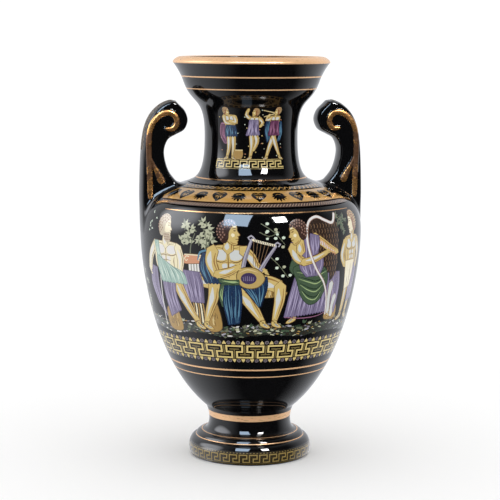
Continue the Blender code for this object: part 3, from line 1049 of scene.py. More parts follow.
def handle_net():
    """A net of quads on the +X handle and the shoulder round it."""
    low, high = map(np.array, NET_BOX)
    counts = np.ceil((high - low) / NET_STEP).astype(int) + 1
    x, y, z = [low[i] + NET_STEP * np.arange(counts[i]) for i in range(3)]
    outline, rise = planar_parts(*np.meshgrid(x, z, indexing="ij"))
    gx, gy, gz = np.meshgrid(x, y, z, indexing="ij")
    handle = handle_gap(gy, outline[:, None, :], rise[:, None, :])
    values = blended(body_gap(gx, gy, gz), handle)
    points, numbers = cell_points(values, low, NET_STEP)
    quads = net_quads(values, numbers)
    near = in_chunks(outline_distance, points[:, 0], points[:, 2]) < HANDLE_FILLET + NET_ROOM
    return compacted(points, quads[near[quads].all(axis=1)])


def handle_surface():
    """The +X handle's points and triangles, as far as its fillet reaches."""
    points, quads = handle_net()
    points, _ = settle(points)
    triangles = split_quads(points, quads)
    outline, rise = planar_parts(points[:, 0], points[:, 2])
    margin = handle_gap(points[:, 1], outline, rise) - HANDLE_FILLET
    points, triangles, margin = cut_mesh(points, triangles, margin)
    return compacted(points, np.array([t for t in triangles if min(margin[i] for i in t) < 0]))


def handle_patch():
    """The +X handle with its fillet, as triangles: points, normals, faces, colours, border."""
    points, triangles = handle_surface()
    share, width = in_chunks(ridge_share, points[:, 0], points[:, 2])
    on_face = np.abs(points[:, 1]) - HANDLE_DEPTH / 2 + RIDGE_EDGE_ROOM
    raised = np.where(on_face > 0, (share - 1.0) * width, 1.0)
    points, triangles, raised = cut_mesh(points, triangles, raised)
    points, triangles, *marks = cut_rope(points, triangles, raised)
    points, normals = settle(points)
    colours = [handle_colour(points[list(t)], *(mark[list(t)] for mark in marks)) for t in triangles]
    loop = border_loop(triangles)
    radius = np.hypot(points[loop, 0], points[loop, 1])
    exact = np.interp(points[loop, 2], FLANK_Z, FLANK_RADIUS)
    points[loop, :2] *= (exact / radius)[:, None]
    return points, normals, triangles, colours, loop


def build_handles(skin):
    """Both handles; returns the holes that they leave in the painted skin, in degrees and mm."""
    points, normals, triangles, colours, loop = handle_patch()
    holes = []
    for side in (1, -1):
        flip = np.array([side, 1.0, 1.0])
        faces = triangles if side > 0 else [t[::-1] for t in triangles]
        skin.add(points * flip, normals * flip, faces, colours)
        hole = []
        for x, y, z in points[loop] * flip:
            degrees = math.degrees(math.atan2(x, -y)) - ART_TURN
            hole.append(((degrees + 180.0) % 360.0 - 180.0, OUTSIDE.at_height(z)))
        holes.append(hole)
    return holes


def linear(channel):
    """An sRGB channel as linear light."""
    return channel / 12.92 if channel <= 0.04045 else ((channel + 0.055) / 1.055) ** 2.4


def new_node(tree, kind, **values):
    """A new node with values for its inputs; a space in an input's name is written as _."""
    node = tree.nodes.new("ShaderNode" + kind)
    for name, value in values.items():
        node.inputs[name.replace("_", " ")].default_value = value
    return node


def varied_roughness(material, middle, swing, scale, stretch):
    """Roughness that wanders about a middle value in patches, stretch times as long round as high."""
    tree = material.node_tree
    place = new_node(tree, "TexCoord")
    squeeze = new_node(tree, "Mapping", Scale=(scale, scale, scale * stretch))
    noise = new_node(tree, "TexNoise", Scale=1.0, Detail=NOISE_DETAIL)
    spread = new_node(tree, "MapRange", From_Min=NOISE_RANGE[0], From_Max=NOISE_RANGE[1],
                      To_Min=middle - swing, To_Max=middle + swing)
    links = tree.links
    links.new(place.outputs["Object"], squeeze.inputs["Vector"])
    links.new(squeeze.outputs["Vector"], noise.inputs["Vector"])
    links.new(noise.outputs["Fac"], spread.inputs["Value"])
    links.new(spread.outputs["Result"], tree.nodes["Principled BSDF"].inputs["Roughness"])


def new_material(name, colour):
    """A material with a plain colour, and its shader's inputs."""
    material = bpy.data.materials.new(name)
    material.use_nodes = True
    inputs = material.node_tree.nodes["Principled BSDF"].inputs
    inputs["Base Color"].default_value = (*colour, 1.0)
    return material, inputs


def make_material(name):
    """The glaze, a gold or a printed colour, which lies under the same gloss."""
    material, inputs = new_material(name, map(linear, COLOURS[name]))
    inputs["IOR"].default_value = GLAZE_IOR
    if name == "black":
        varied_roughness(material, GLAZE_ROUGHNESS, *GLAZE_PATCHES)
    elif name in GOLDS:
        metal, roughness = GOLDS[name]
        inputs["Metallic"].default_value = metal
        varied_roughness(material, roughness, *BRUSH_MARKS)
    elif name in MATT_PRINTS:
        varied_roughness(material, MATT_ROUGHNESS, *PRINT_GRAIN)
        inputs["Specular IOR Level"].default_value = MATT_GLOSS
    else:
        varied_roughness(material, PRINT_ROUGHNESS, *PRINT_GRAIN)
        inputs["Coat Weight"].default_value = PRINT_COAT
        inputs["Coat Roughness"].default_value = GLAZE_ROUGHNESS
    return material


def greek_key(out, back):
    """A repeat of a Greek key in a unit square: up, along to out, down, back and along again."""
    return [(0.0, 0.0), (0.0, 1.0), (out, 1.0), (out, 0.5), (back, 0.5), (back, 0.0), (1.0, 0.0)]


def key_boxes(path, start, pitch, base, rise, half_x, half_y):
    """The strokes of one repeat of a key pattern as boxes: left, right, low, high."""
    for (x0, y0), (x1, y1) in zip(path, path[1:]):
        yield (start + min(x0, x1) * pitch - half_x, start + max(x0, x1) * pitch + half_x,
               base + min(y0, y1) * rise - half_y, base + max(y0, y1) * rise + half_y)


class Painting:
    """Flat shapes in painting order: mm across at the reference radius, mm along the outline."""

    def __init__(self, reference):
        self.reference = reference
        self.shapes = []
        self.edge = math.pi * reference
        self.origin = 0.0
        self.flip = 1
        self.pen = 1.0
        self.swaps = {}

    def add(self, colour, points):
        """A shape in the painting's own measures, over those before it."""
        self.shapes.append((colour, [tuple(p) for p in points]))

    def placed(self, points):
        """Points given by height, as the figure that is being drawn is shifted and turned about."""
        return [(self.origin + self.flip * x, OUTSIDE.at_height(z)) for x, z in points]

    def drawn(self, colour, points):
        """A shape given by height, in the colour that the figure wears instead if it swaps it."""
        self.add(self.swaps.get(colour, colour), self.placed(points))

    def stroke(self, colour, path, widths, step=RIBBON_STEP, smooth=True):
        """A stroke of the brush, whose path is given by height."""
        self.drawn(colour, ribbon(path, widths, step, smooth))

    def under(self, colour, points):
        """A shape that lies under all the others."""
        self.shapes.insert(0, (colour, self.placed(points)))

    def wrapped(self):
        """The shapes, each also a full turn to either side where that reaches into the chart."""
        around = 2 * self.edge
        result = []
        for colour, points in self.shapes:
            low = min(x for x, _ in points)
            high = max(x for x, _ in points)
            for shift in (-around, 0.0, around):
                if high + shift > -self.edge and low + shift < self.edge:
                    result.append((colour, [(x + shift, u) for x, u in points]))
        return result

    def box(self, colour, left, right, low, high):
        """A rectangle, cut off where the painting is closed at the back."""
        left = max(left, -self.edge)
        right = min(right, self.edge)
        if right - left > TINY:
            self.add(colour, rectangle(left, right, low, high))

    def keys(self, colour, path, count, radius, low, high, width):
        """A key pattern, repeated all the way round."""
        pitch = 2 * self.edge / count
        half_x = width / 2 * self.reference / radius
        for k in range(-1, count + 1):
            for box in key_boxes(path, k * pitch - self.edge, pitch, low, high - low, half_x, width / 2):
                self.box(colour, *box)

    def ring(self, colour, low, high):
        """A plain band all the way round."""
        self.box(colour, -self.edge, self.edge, low, high)


def grown(points, rim):
    """A closed outline moved outwards by a rim."""
    ring = np.array(points, float)
    if signed_area([tuple(p) for p in ring]) < 0:
        ring = ring[::-1]
    run = np.roll(ring, -1, axis=0) - np.roll(ring, 1, axis=0)
    run /= np.maximum(np.hypot(*run.T), 1e-9)[:, None]
    return ring + rim * np.stack([run[:, 1], -run[:, 0]], axis=1)


def patch(p, colour, points, line="skin_line", rim=PEN_RIM):
    """A smooth area with a drawn outline."""
    shape = blob(points)
    p.drawn(line, grown(shape, rim * p.pen))
    p.drawn(colour, shape)


def limb(p, path, widths):
    """An arm, leg or neck: outline, flesh, a broad pale light on one side and a shade on the other."""
    p.stroke("skin_line", path, [w + LIMB_RIM * p.pen for w in widths])
    p.stroke("skin", path, widths)
    points = np.array(smooth_path(path, RIBBON_STEP), float)
    side = run_and_side(points)[1]
    if side[:, 0].sum() > 0:
        side = -side
    half = np.interp(np.linspace(0, 1, len(points)), np.linspace(0, 1, len(widths)), widths) / 2
    trim = slice(len(points) // LIMB_TRIM, -max(1, len(points) // LIMB_TRIM))
    lit = (points + side * half[:, None] * LIGHT_ASIDE)[trim]
    shade = (points - side * half[:, None] * SHADE_ASIDE)[trim]
    if len(lit) > 2:
        wide = max(widths)
        sizes = (wide, wide, min(widths), 1)
        p.stroke("skin_light", lit, [a * b for a, b in zip(LIGHT_SHARES, sizes)], smooth=False)
        p.stroke("skin_shade", shade, [a * wide for a in SHADE_SHARES], smooth=False)


def foot(p, ankle, turn, size=1.0):
    """A sandalled foot that points to one side."""
    def at(points):
        return [(ankle[0] + turn * size * x, ankle[1] + size * z) for x, z in points]

    patch(p, "skin", at([(-1.6, 1.4), (-1.9, -1.6), (0.5, -3.2), (4.2, -4.2), (6.0, -3.9), (4.8, -2.3),
                         (2.2, -0.6), (1.7, 1.4)]))
    p.drawn("skin_light", at([(0.6, -0.6), (1.8, -1.2), (4.4, -2.9), (3.4, -3.3), (0.8, -2.0)]))
    for shift in (-0.6, 0.8, 2.2):
        strap = at([(shift - 1.2, 0.6 - shift), (shift + 1.6, -(shift + 0.6))])
        p.stroke("string_dark", strap, (0.4 * size, 0.4 * size))


def leg(p, path, widths, turn, size=1.0, drop=1.0):
    """A leg with its foot, whose ankle lies a little under the path's end."""
    limb(p, path, widths)
    foot(p, (path[-1][0], path[-1][1] - drop), turn, size)


def drape(p, tone, left, right, folds, hem=0.9):
    """Cloth between two guide curves, with light and dark folds that run along it."""
    guides = []
    for guide in (left, right):
        path = np.array(smooth_path(guide, 1.0), float)
        share = np.linspace(0, len(path) - 1, CLOTH_STEPS)
        guides.append(np.stack([np.interp(share, range(len(path)), path[:, k]) for k in (0, 1)], axis=1))
    first, last = guides
    end = [tuple(first[-1] * (1 - t) + last[-1] * t - np.array([0, hem * (k % 2)]))
           for k, t in enumerate(np.linspace(0, 1, 2 * (folds // 2) + 3))]
    shape = [tuple(q) for q in first[:-1]] + end + [tuple(q) for q in last[-2::-1]]
    p.drawn(tone + "_dark", grown(shape, CLOTH_RIM * p.pen))
    p.drawn(tone, shape)
    for k in range(1, folds):
        t = (k + 0.3 * math.sin(2.7 * k)) / folds
        wave = FOLD_WAVE * np.sin(np.arange(CLOTH_STEPS) * 0.9 + 2.4 * k)[:, None]
        fold = first * (1 - t) + last * t + wave * np.array([1.0, 0.4])
        start = (0, 2, 1, 4)[k % 4]
        colour = tone + ("_dark", "_light", "_light")[k % 3]
        widths = (0.2, FOLD_WIDTH, FOLD_WIDTH * (1.5 if k % 3 else 1.0), 0.25)
        p.stroke(colour, fold[start:CLOTH_STEPS - (k % 2)], widths, smooth=False)


def torso(p, left, right, waist_left, waist_right):
    """A bare chest seen from the front, from the shoulders to the waist."""
    sx = (left[0] + right[0]) / 2
    top = (left[1] + right[1]) / 2
    half = (right[0] - left[0]) / 2
    mid = (waist_left[0] + waist_right[0]) / 2
    deep = top - (waist_left[1] + waist_right[1]) / 2

    def on(points, side=1):
        return [(sx + (mid - sx) * v + side * half * u, top - deep * v) for u, v in points]

    patch(p, "skin", [left, (sx - 0.4 * half, top + 0.08 * deep), (sx + 0.4 * half, top + 0.08 * deep), right,
                      (right[0] - 0.06 * half, right[1] - 0.3 * deep), waist_right, waist_left,
                      (left[0] + 0.06 * half, left[1] - 0.3 * deep)])
    chest = [(0.14, 0.10), (0.52, 0.06), (0.80, 0.14), (0.76, 0.30), (0.46, 0.38), (0.14, 0.34)]
    for side in (-1, 1):
        p.drawn("skin_light", blob(on(chest, side), 1.0))
        p.stroke("skin_line", on([(0.84, 0.20), (0.74, 0.36), (0.44, 0.44), (0.08, 0.38)], side),
                 (0.2, 0.8 * p.pen, 0.3))
        for area in ([(0.09, 0.48), (0.34, 0.50), (0.32, 0.62), (0.09, 0.60)],
                     [(0.09, 0.66), (0.30, 0.68), (0.27, 0.80), (0.09, 0.78)]):
            p.drawn("skin_light", blob(on(area, side), 1.0))
        p.stroke("skin_shade", on([(0.62, 0.46), (0.56, 0.66), (0.60, 0.90)], side), (0.3, 0.9 * p.pen, 0.4))
        p.stroke("skin_line", on([(0.12, 0.03), (0.62, -0.02)], side), (0.5 * p.pen, 0.25))
    p.stroke("skin_line", on([(0, 0.08), (0, 0.5), (0, 0.92)]), (0.4, 0.7 * p.pen, 0.4))
    for v in (0.46, 0.64, 0.82):
        p.stroke("skin_shade", on([(-0.36, v), (0, v - 0.03), (0.36, v)]), (0.2, 0.55 * p.pen, 0.2))


def head(p, centre, size, turn, tilt=0.0, beard=False, kind="dark"):
    """A calm generic profile under short curled hair, looking to one side."""
    def at(points):
        return [(centre[0] + turn * x, centre[1] + z) for x, z in moved(points, turn=tilt, size=size)]

    light, dark, curl = HEADS[kind]
    pen = HEAD_PEN * HEAD_PEN_SIZE / size * p.pen
    p.drawn("skin_line", at(grown(blob(FACE, 0.07), 0.028)))
    p.drawn(light, at(blob(FACE, 0.07)))
    for area in FACE_LIGHTS:
        p.drawn("cream", at(blob(area, 0.08)))
    p.drawn("skin_shade", at(ribbon(JAW_SHADE, (0.02, 0.04, 0.02), 0.1)))
    for line in FACE_LINES:
        p.drawn("skin_line", at(ribbon(line, (pen * 0.6, pen, pen * 0.7), 0.06)))
    p.drawn("skin_line", at(oval((0.22, 0.085), (0.025, 0.028), 6)))
    if beard:
        p.drawn(dark, at(blob(BEARD, 0.08)))
        for k in range(12):
            place = (-0.08 + 0.10 * (k % 4) + 0.03 * (k // 4), -0.34 - 0.11 * (k // 4))
            p.drawn(curl, at(oval(place, (0.035, 0.045), 6)))
    p.drawn(dark, at(blob(HAIR, 0.09)))
    for ring, count in CURL_RINGS:
        for k in range(count):
            angle = math.radians(48 + 182 * k / (count - 1))
            place = (-0.10 + ring * math.cos(angle), 0.10 + ring * math.sin(angle))
            p.drawn(curl, at(oval(place, (0.036, 0.048), 6, 40 * k)))


def leaf(p, colour, x, z, turn, size):
    """A pointed leaf that grows from a place."""
    p.drawn(colour, moved([(0.0, 0.0), (0.4, 0.22), (1.0, 0.0), (0.4, -0.22)], x, z, turn, size))


def foliage(p, left, right, low, high, count, size, colours, seed):
    """Fans of pointed leaves scattered over an area."""
    rng = np.random.default_rng(seed)
    for _ in range(count):
        x = rng.uniform(left, right)
        z = rng.uniform(low, high)
        turn = rng.uniform(0, 360)
        for k in range(FAN_LEAVES):
            leaf(p, colours[k % len(colours)], x, z, turn + FAN_STEP * k, size * rng.uniform(0.75, 1.1))


def sprig(p, path, size):
    """A thin twig with small round leaves held off on both sides."""
    points = smooth_path(path, 3.6)
    p.stroke("leaf_dark", path, (0.6, 0.4))
    for k, (x, z) in enumerate(points[1:], 1):
        side = 1 if k % 2 else -1
        place = (x + 1.5 * side, z + 1.7 * side)
        p.stroke("leaf_dark", [(x, z), place], (0.35, 0.35))
        p.drawn("leaf_light" if k % 3 else "leaf", oval(place, (0.62 * size, 0.5 * size), 6, 30 * k))


def rock(p, points, seed):
    """A boulder with a few chiselled strokes."""
    patch(p, "stone", points, "stone_dark")
    rng = np.random.default_rng(seed)
    low = np.min(points, axis=0)
    high = np.max(points, axis=0)
    for _ in range(16):
        x, z = rng.uniform(low + 0.18 * (high - low), high - 0.25 * (high - low))
        p.stroke("stone_light" if rng.random() < 0.5 else "stone_dark",
                 [(x, z + 1.8), (x + rng.uniform(-0.8, 0.8), z - 1.8)], (0.3, 0.5))


def column(p, low):
    """A fluted shaft, drawn down to a height, and its capital."""
    shaft = [(-45.6, low), (-45.6, 155), (-34.8, 155), (-34.8, low)]
    p.drawn("leaf_dark", grown(shaft, 0.45))
    p.drawn("white", shaft)
    for k in range(4):
        p.stroke("leaf_dark", [(-43.6 + 2.3 * k, 154), (-43.6 + 2.3 * k, low + 1)], (0.7, 0.7))
    patch(p, "terracotta", [(-50, 154), (-50.5, 158.4), (-47, 160.5), (-35, 160.5), (-32.5, 158.4),
                            (-33, 155), (-37, 154.5)], "stone_dark")
    for x in (-47.5, -36.0):
        p.stroke("cream", [(x + 2.6, 159.0), (x, 159.2), (x - 1.6, 157.2), (x, 155.6), (x + 1.2, 157.0)],
                 (0.7, 0.8, 0.6))
    p.stroke("cream", [(-49, 160.3), (-34, 160.3)], (0.7, 0.7))


def listener(p):
    """The bearded listener, seated on a rock with a staff."""
    rock(p, [(-73, 104), (-74, 117), (-68, 121), (-61, 118), (-59, 104)], 21)
    rock(p, [(-34, 106), (-33, 124), (-29, 128), (-24.5, 124), (-22.5, 107)], 22)
    for k in range(5):
        strip = [(-46 + 2.2 * k, 134), (-44 + 2.0 * k, 122), (-45 + 2.4 * k, 111)]
        p.stroke("cream" if k % 2 else "stone", strip, (1.6, 1.1, 1.5))
    drape(p, "violet", [(-86, 149), (-91, 137), (-85, 122)], [(-79, 148), (-79, 132), (-75, 112)], 9)
    limb(p, [(-50, 143), (-38, 143), (-28, 140.5)], (10, 10, 8.4))
    leg(p, [(-26, 141), (-27.5, 130), (-31, 121), (-35, 111)], (8.4, 7.6, 5.8, 3.4), 1)
    drape(p, "violet", [(-54, 149), (-52, 138), (-49, 126)], [(-37, 148), (-35, 139), (-35, 126)], 13)
    leg(p, [(-58, 141), (-55, 133), (-49, 122), (-42, 111)], (9, 8.4, 6.2, 3.6), 1)
    drape(p, "violet", [(-74, 143), (-73, 130), (-70, 113)], [(-59, 143), (-60, 130), (-57, 119)], 12)
    # painted reflection: the listener's arms, chest and head are drawn paler, as if washed by a bright veil
    # in the glaze
    p.swaps = LISTENER_SHEEN
    limb(p, [(-78, 166), (-86, 157), (-90, 146)], (7, 6, 4.6))
    p.stroke("white", [(-75, 149), (-77, 128), (-79, 105)], (0.9, 1.0, 0.9))
    torso(p, (-81, 167), (-53, 166), (-77, 148), (-57, 147))
    limb(p, [(-55, 165), (-52.5, 156), (-54, 147)], (6, 5.6, 4.4))
    limb(p, [(-67, 166), (-66, 174)], (7, 6))
    head(p, (-67, 178.5), 15.5, 1, beard=True, kind="grey")
    p.swaps = {}
    drape(p, "teal", [(-80, 168), (-78, 160), (-76, 154)], [(-75, 168), (-74, 160), (-70, 152)], 5)
    drape(p, "teal", [(-78, 158), (-77, 148), (-74, 139)], [(-60, 150), (-51, 146.5), (-48, 139)], 14)
    for k in range(4):
        p.drawn("cream", oval((-91 + 0.8 * k, 147 - 1.5 * k), (1.2, 0.8), 6))


def lyre(p):
    """The lyre, with curled arms, a twisted crossbar and a round sound box."""
    for k in range(5):
        p.stroke("string", [(2.2 + 2.6 * k, 172.2 - 0.8 * k), (1.8 + 1.3 * k, 152.4 - 0.4 * k)], (0.4, 0.4))
    for path, inner in (([(-5.5, 150), (-3.5, 160), (0.8, 173)], [(-4.9, 151), (-3.0, 160), (1.0, 172)]),
                        ([(6.5, 150), (11, 158), (17.5, 168)], [(7.4, 151), (11.6, 158.2), (17.4, 167)])):
        p.stroke("violet_dark", path, (3.4, 2.9, 2.2))
        p.stroke("pewter_light", path, (2.6, 2.2, 1.6))
        p.stroke("pewter", inner, (0.9, 0.8, 0.4))
    for x, z, side in ((0.4, 174.2, -1), (18.4, 169.2, 1)):
        curl = [(x - 2.4 * side, z - 1), (x, z + 1.3), (x + 2.2 * side, z), (x + side, z - 1.6)]
        p.stroke("pewter_light", curl, (1.1, 1.2, 1.0))
    p.stroke("cream", [(1.5, 172.6), (8, 170.6), (16.5, 168.4)], (1.6, 1.8, 1.6))
    for k in range(9):
        p.stroke("violet_dark", [(2.6 + 1.6 * k, 173.0 - 0.47 * k), (3.4 + 1.6 * k, 171.3 - 0.47 * k)],
                 (0.5, 0.5))
    patch(p, "lyre_gold", [(-9.5, 146), (-7, 151.5), (0, 152.5), (6.5, 150), (10, 144.5), (6, 139),
                           (-1, 137.6), (-7, 140)], "stone_dark", 0.6)
    p.stroke("stone_light", [(-7.6, 149), (-2, 151.2), (5, 149.4)], (0.3, 0.9, 0.3))
    p.drawn("violet_dark", oval((-1.2, 144.8), (5.6, 4.2), 16))
    for k in range(6):
        p.stroke("violet", [(-5.2 + 1.5 * k, 146.6 - 0.3 * abs(k - 2)), (-4.6 + 1.3 * k, 143.0)],
                 (0.5, 0.7))


def lyre_player(p):
    """The young musician in the middle, seated, with a lyre on the knee."""
    drape(p, "blue", [(-34, 163), (-37, 152), (-33, 141)], [(-25, 160), (-23, 150), (-20, 141)], 9)
    p.stroke("blue_light", [(-38, 157), (-36, 162.6), (-30, 164), (-26, 160.6)], (0.9, 1.5, 1.3, 0.8))
    rock(p, [(8, 131), (9, 136), (24, 135.6), (26, 132)], 24)
    drape(p, "green", [(-20, 142), (-23, 133), (-21, 124)], [(-11, 142), (-12, 133), (-13, 127)], 8)
    limb(p, [(2, 141), (12, 141.5), (21, 138.5)], (11, 10.5, 9))
    leg(p, [(21.5, 139), (21.6, 129), (20.2, 121), (18.6, 113)], (8.6, 7.8, 6.0, 3.6), 1)
    limb(p, [(-8, 135), (-3, 130.5), (3, 122), (9.5, 112.5)], (8, 8.6, 6.6, 3.6))
    foot(p, (9.6, 112), 1)
    drape(p, "blue", [(-9, 141), (-2, 134), (6, 124)], [(12, 146), (12, 137), (8, 125)], 13)
    drape(p, "blue", [(-19, 139), (-20, 126), (-17, 110.5)], [(-7, 141), (-6, 128), (-8, 112)], 12)
    torso(p, (-28.5, 166), (-3, 167), (-22, 143), (-8, 143))
    limb(p, [(-26.5, 165), (-28, 156), (-24.5, 147)], (8.4, 7.8, 6.2))
    limb(p, [(-24, 147), (-16, 149), (-9, 152.5)], (6, 5.4, 4))
    limb(p, [(-5, 165.5), (0.5, 160), (4, 154), (9, 150.5)], (7.4, 6.4, 5.2, 3.8))
    lyre(p)
    for k in range(4):
        p.stroke("skin", [(8.5 + 0.6 * k, 151.6 - 1.0 * k), (11.6 + 0.5 * k, 150.8 - 1.1 * k)], (1.0, 0.7))
        p.stroke("skin", [(-9.5, 153.6 - 0.9 * k), (-6.4, 154.6 - 1.0 * k)], (1.0, 0.7))
    drape(p, "green", [(-23, 144.5), (-14, 143.2), (-8, 143.6)], [(-22, 141.5), (-14, 139.8), (-8, 140.2)],
          4, 0.0)
    limb(p, [(-15.5, 165), (-14.8, 172)], (7.2, 6.4))
    head(p, (-14.4, 177), 16.5, 1, tilt=4)


def harp(p):
    """The field of strings of the tall harp, a dark net with pale dashes."""
    p.drawn("string_dark", blob([(42, 181), (50, 187), (60, 184), (68, 182), (70, 160), (69, 146),
                                 (62, 140), (53, 148), (44, 164)]))
    for row in range(10):
        for k in range(10):
            x = 43.6 + 2.7 * k + (row % 2) * 1.3
            z = 181.0 - 4.0 * row
            if x > 69.5 or x < 43 + 1.25 * max(0, row - 4):
                continue
            p.stroke("string", [(x, z + 1.7), (x + 0.7, z), (x + 0.2, z - 1.7)], (0.3, 0.75, 0.3), 1.2)


def harpist(p):
    """The harpist in a long dress with a green mantle."""
    rock(p, [(64, 112), (65, 121), (70, 124), (76, 121), (77, 112)], 25)
    drape(p, "violet", [(62, 147), (63, 136), (65, 118)], [(74, 146), (76, 134), (75, 116)], 9)
    harp(p)
    limb(p, [(46, 174), (54, 169), (61, 164.5), (69, 161)], (5.4, 5.2, 5.0, 3.4))
    for k in range(8):
        p.stroke("terracotta", [(49 + 2.3 * k, 173.6 - 1.5 * k), (50.6 + 2.3 * k, 169.4 - 1.5 * k)],
                 (0.5, 0.9))
    drape(p, "violet", [(43, 176), (43, 168), (45, 160)], [(50.5, 174), (51, 168), (50, 162)], 6)
    foot(p, (67, 117), 1)
    foot(p, (34, 115), -1)
    drape(p, "violet", [(33, 148), (29, 132), (26, 116)], [(62, 146), (64, 132), (63, 118)], 26, 1.0)
    p.stroke("plum_light", [(26.4, 115.6), (40, 114.2), (54, 114.6), (63, 116.6)], (0.5, 0.7, 0.5))
    drape(p, "violet", [(28, 170), (29, 160), (32, 148)], [(42, 173), (43, 162), (44, 148)], 10)
    patch(p, "green", [(30, 158), (28, 151), (32, 147), (36, 152), (35, 159)], "green_dark")
    mantle = [(31, 152), (44, 154), (57, 150.5), (61, 141), (56, 128), (47, 124), (39, 130), (34, 142)]
    patch(p, "green", mantle, "green_dark")
    for k in range(12):
        sag = 1.95 * k
        fold = [(33 + 0.55 * k, 150 - 0.8 * sag), (44, 148.5 - sag), (51, 147 - sag),
                (59.6 - 0.4 * k, 149.5 - 0.85 * sag)]
        p.stroke(("green_dark", "green_light", "green")[k % 3], fold, (0.2, 0.7, 0.8, 0.2))
    drape(p, "violet", [(35, 158), (36, 151), (41, 145)], [(55, 158), (55.5, 152), (53, 145.5)], 9, 0.4)
    for points in ([(66, 138), (65.2, 128), (66.4, 117)], [(72, 128), (70.6, 121), (71.6, 114)]):
        p.stroke("cream_dark", points, (5.4, 3.9, 4.6))
        p.stroke("skin_light", points, (4.4, 3.0, 3.6))
    limb(p, [(29.5, 167), (33.5, 159), (39, 155.6)], (7, 6.4, 5.2))
    limb(p, [(38, 155.4), (48, 157.5), (58, 161.5)], (5.2, 4.6, 3.4))
    for k in range(3):
        p.stroke("skin", [(58, 162.6 - k), (61.2, 163.6 - 1.1 * k)], (1.0, 0.7))
    frame_path = [(68, 188.5), (64, 182.5), (57, 184.6), (50, 187.4), (43, 184.5), (40.5, 176), (43, 163),
                  (49.5, 150), (58, 139), (62.5, 128), (64.5, 115)]
    p.stroke("hair_light", frame_path, (2.6, 2.3, 2.2, 1.9, 1.7))
    p.stroke("white", [(x - 0.2, z + 0.1) for x, z in frame_path], (1.8, 1.6, 1.4, 1.15, 1.0))
    limb(p, [(36, 163), (35, 171)], (6.4, 5.4))
    head(p, (32.8, 177), 15.5, -1, tilt=-14)


def standing_figure(p):
    """The half-draped dancer at the edge of the scene."""
    for hip, knee, ankle, side in ((88, 87, 86, -1), (93, 95, 95, 1)):
        leg(p, [(hip, 150), (knee, 132), (ankle, 114)], (8, 6.4, 3.6), side)
    drape(p, "violet", [(90, 152), (90, 140), (92, 122)], [(100, 154), (102, 140), (101, 124)], 9)
    torso(p, (78, 170), (98, 170), (83, 150), (96, 150))
    limb(p, [(79, 168), (76, 158), (80, 150)], (6, 5.4, 4))
    limb(p, [(97, 168), (102, 158), (100, 148)], (6, 5.4, 4))
    drape(p, "cream", [(81, 153), (82, 144), (84, 132)], [(95, 153), (94, 142), (92, 134)], 9)
    limb(p, [(88.5, 168), (89, 175)], (6.4, 5.4))
    head(p, (89, 180.5), 15.0, -1, kind="fair")


def crowded(p, k, count, margin):
    """Place of one of a number of things spread round the ground, closer together in front."""
    share = 2 * k / count - 1
    return (p.edge - margin) * (share - FRONT_CROWDING * math.sin(math.pi * share) / math.pi)


def ground(p):
    """Dark soil under the figures all the way round, with pebbles and tufts on it."""
    rng = np.random.default_rng(7)
    across = np.linspace(-p.edge, p.edge, SOIL_STEPS + 1)
    rough = rng.uniform(-1.0, 1.0, (2, SOIL_STEPS + 1))
    rough[:, -1] = rough[:, 0]
    low, high = SOIL_HEIGHTS
    top = [(x, high + SOIL_WAVE * math.sin(x / WAVE_LENGTH) + r) for x, r in zip(across, rough[0])]
    base = [(x, low + SOIL_WAVE * math.sin(x / WAVE_LENGTH) + 0.5 * r) for x, r in zip(across, rough[1])]
    p.drawn("soil", base + top[::-1])
    for k in range(PEBBLES):
        x = crowded(p, k, PEBBLES, 3) + rng.uniform(-1, 1)
        z = rng.uniform(*PEBBLE_HEIGHTS) + PEBBLE_WAVE * math.sin(x / WAVE_LENGTH)
        size = rng.uniform(0.6, 1.4)
        shape = oval((0.0, 0.0), (size * rng.uniform(1.1, 2.1), size * rng.uniform(0.3, 0.6)), 5)
        tone = PEBBLE_TONES[int(rng.integers(len(PEBBLE_TONES)))]
        p.drawn(tone, moved(shape, x, z, rng.uniform(-20, 20)))
    for k in range(TUFTS):
        tone = ("green", "leaf", "leaf_dark")[k % 3]
        x = crowded(p, k, TUFTS, 6) + rng.uniform(-2, 2)
        z = rng.uniform(*TUFT_HEIGHTS)
        for turn in TUFT_TURNS:
            leaf(p, tone, x, z, turn + rng.uniform(-8, 8), rng.uniform(2.0, 3.8))


def back_scene(p):
    """A plainer group behind: three of the figures turned about, between trees and rocks."""
    for origin, low, seed in BACK_TREES:
        p.origin = origin
        foliage(p, -9, 9, low, min(187, low + 30), 9, 4.4, ("leaf", "leaf_dark"), seed)
        p.stroke("leaf_dark", [(-3, 108), (-1, low - 6), (1, low + 8), (3, low + 25)], (2.2, 1.6, 1.0, 0.5))
    for origin in BACK_BOULDERS:
        p.origin = origin
        rock(p, [(-9, 105), (-8, 119), (-1, 125), (6, 121), (9, 105)], 23)
    p.origin = BACK_COLUMN
    column(p, 107)
    p.flip = -1
    p.origin = BACK_MUSICIANS
    standing_figure(p)
    harpist(p)
    p.origin = BACK_LISTENER
    listener(p)
    p.flip = 1
    p.origin = 0.0


def frieze_painting(p):
    """The painted scene of music makers, and a plainer one behind."""
    ground(p)
    for left, right, low, high, count, seed in ((-50, -26, 168, 185, 13, 3), (-52, -41, 167, 183, 6, 6)):
        foliage(p, left, right, low, high, count, 4.8, ("leaf", "leaf", "leaf_dark"), seed)
    for path in ([(-44, 161), (-43, 168), (-40, 176)], [(-32, 164), (-31, 171), (-34, 180)],
                 [(-30, 165), (-28, 176)]):
        p.stroke("leaf_dark", path, (0.9, 0.5))
    column(p, 140)
    listener(p)
    lyre_player(p)
    for path, size in (([(7, 184), (16, 178), (24, 169)], 2.2), ([(14, 160), (20, 154), (27, 145)], 2.2),
                       ([(6, 178), (13, 175), (20, 178)], 1.8)):
        sprig(p, path, size)
    foliage(p, 68, 82, 172, 187, 10, 3.6, ("leaf_dark", "green"), 5)
    standing_figure(p)
    harpist(p)
    foliage(p, -88, -79, 172, 188, 7, 1.5, ("leaf_light",), 8)
    back_scene(p)


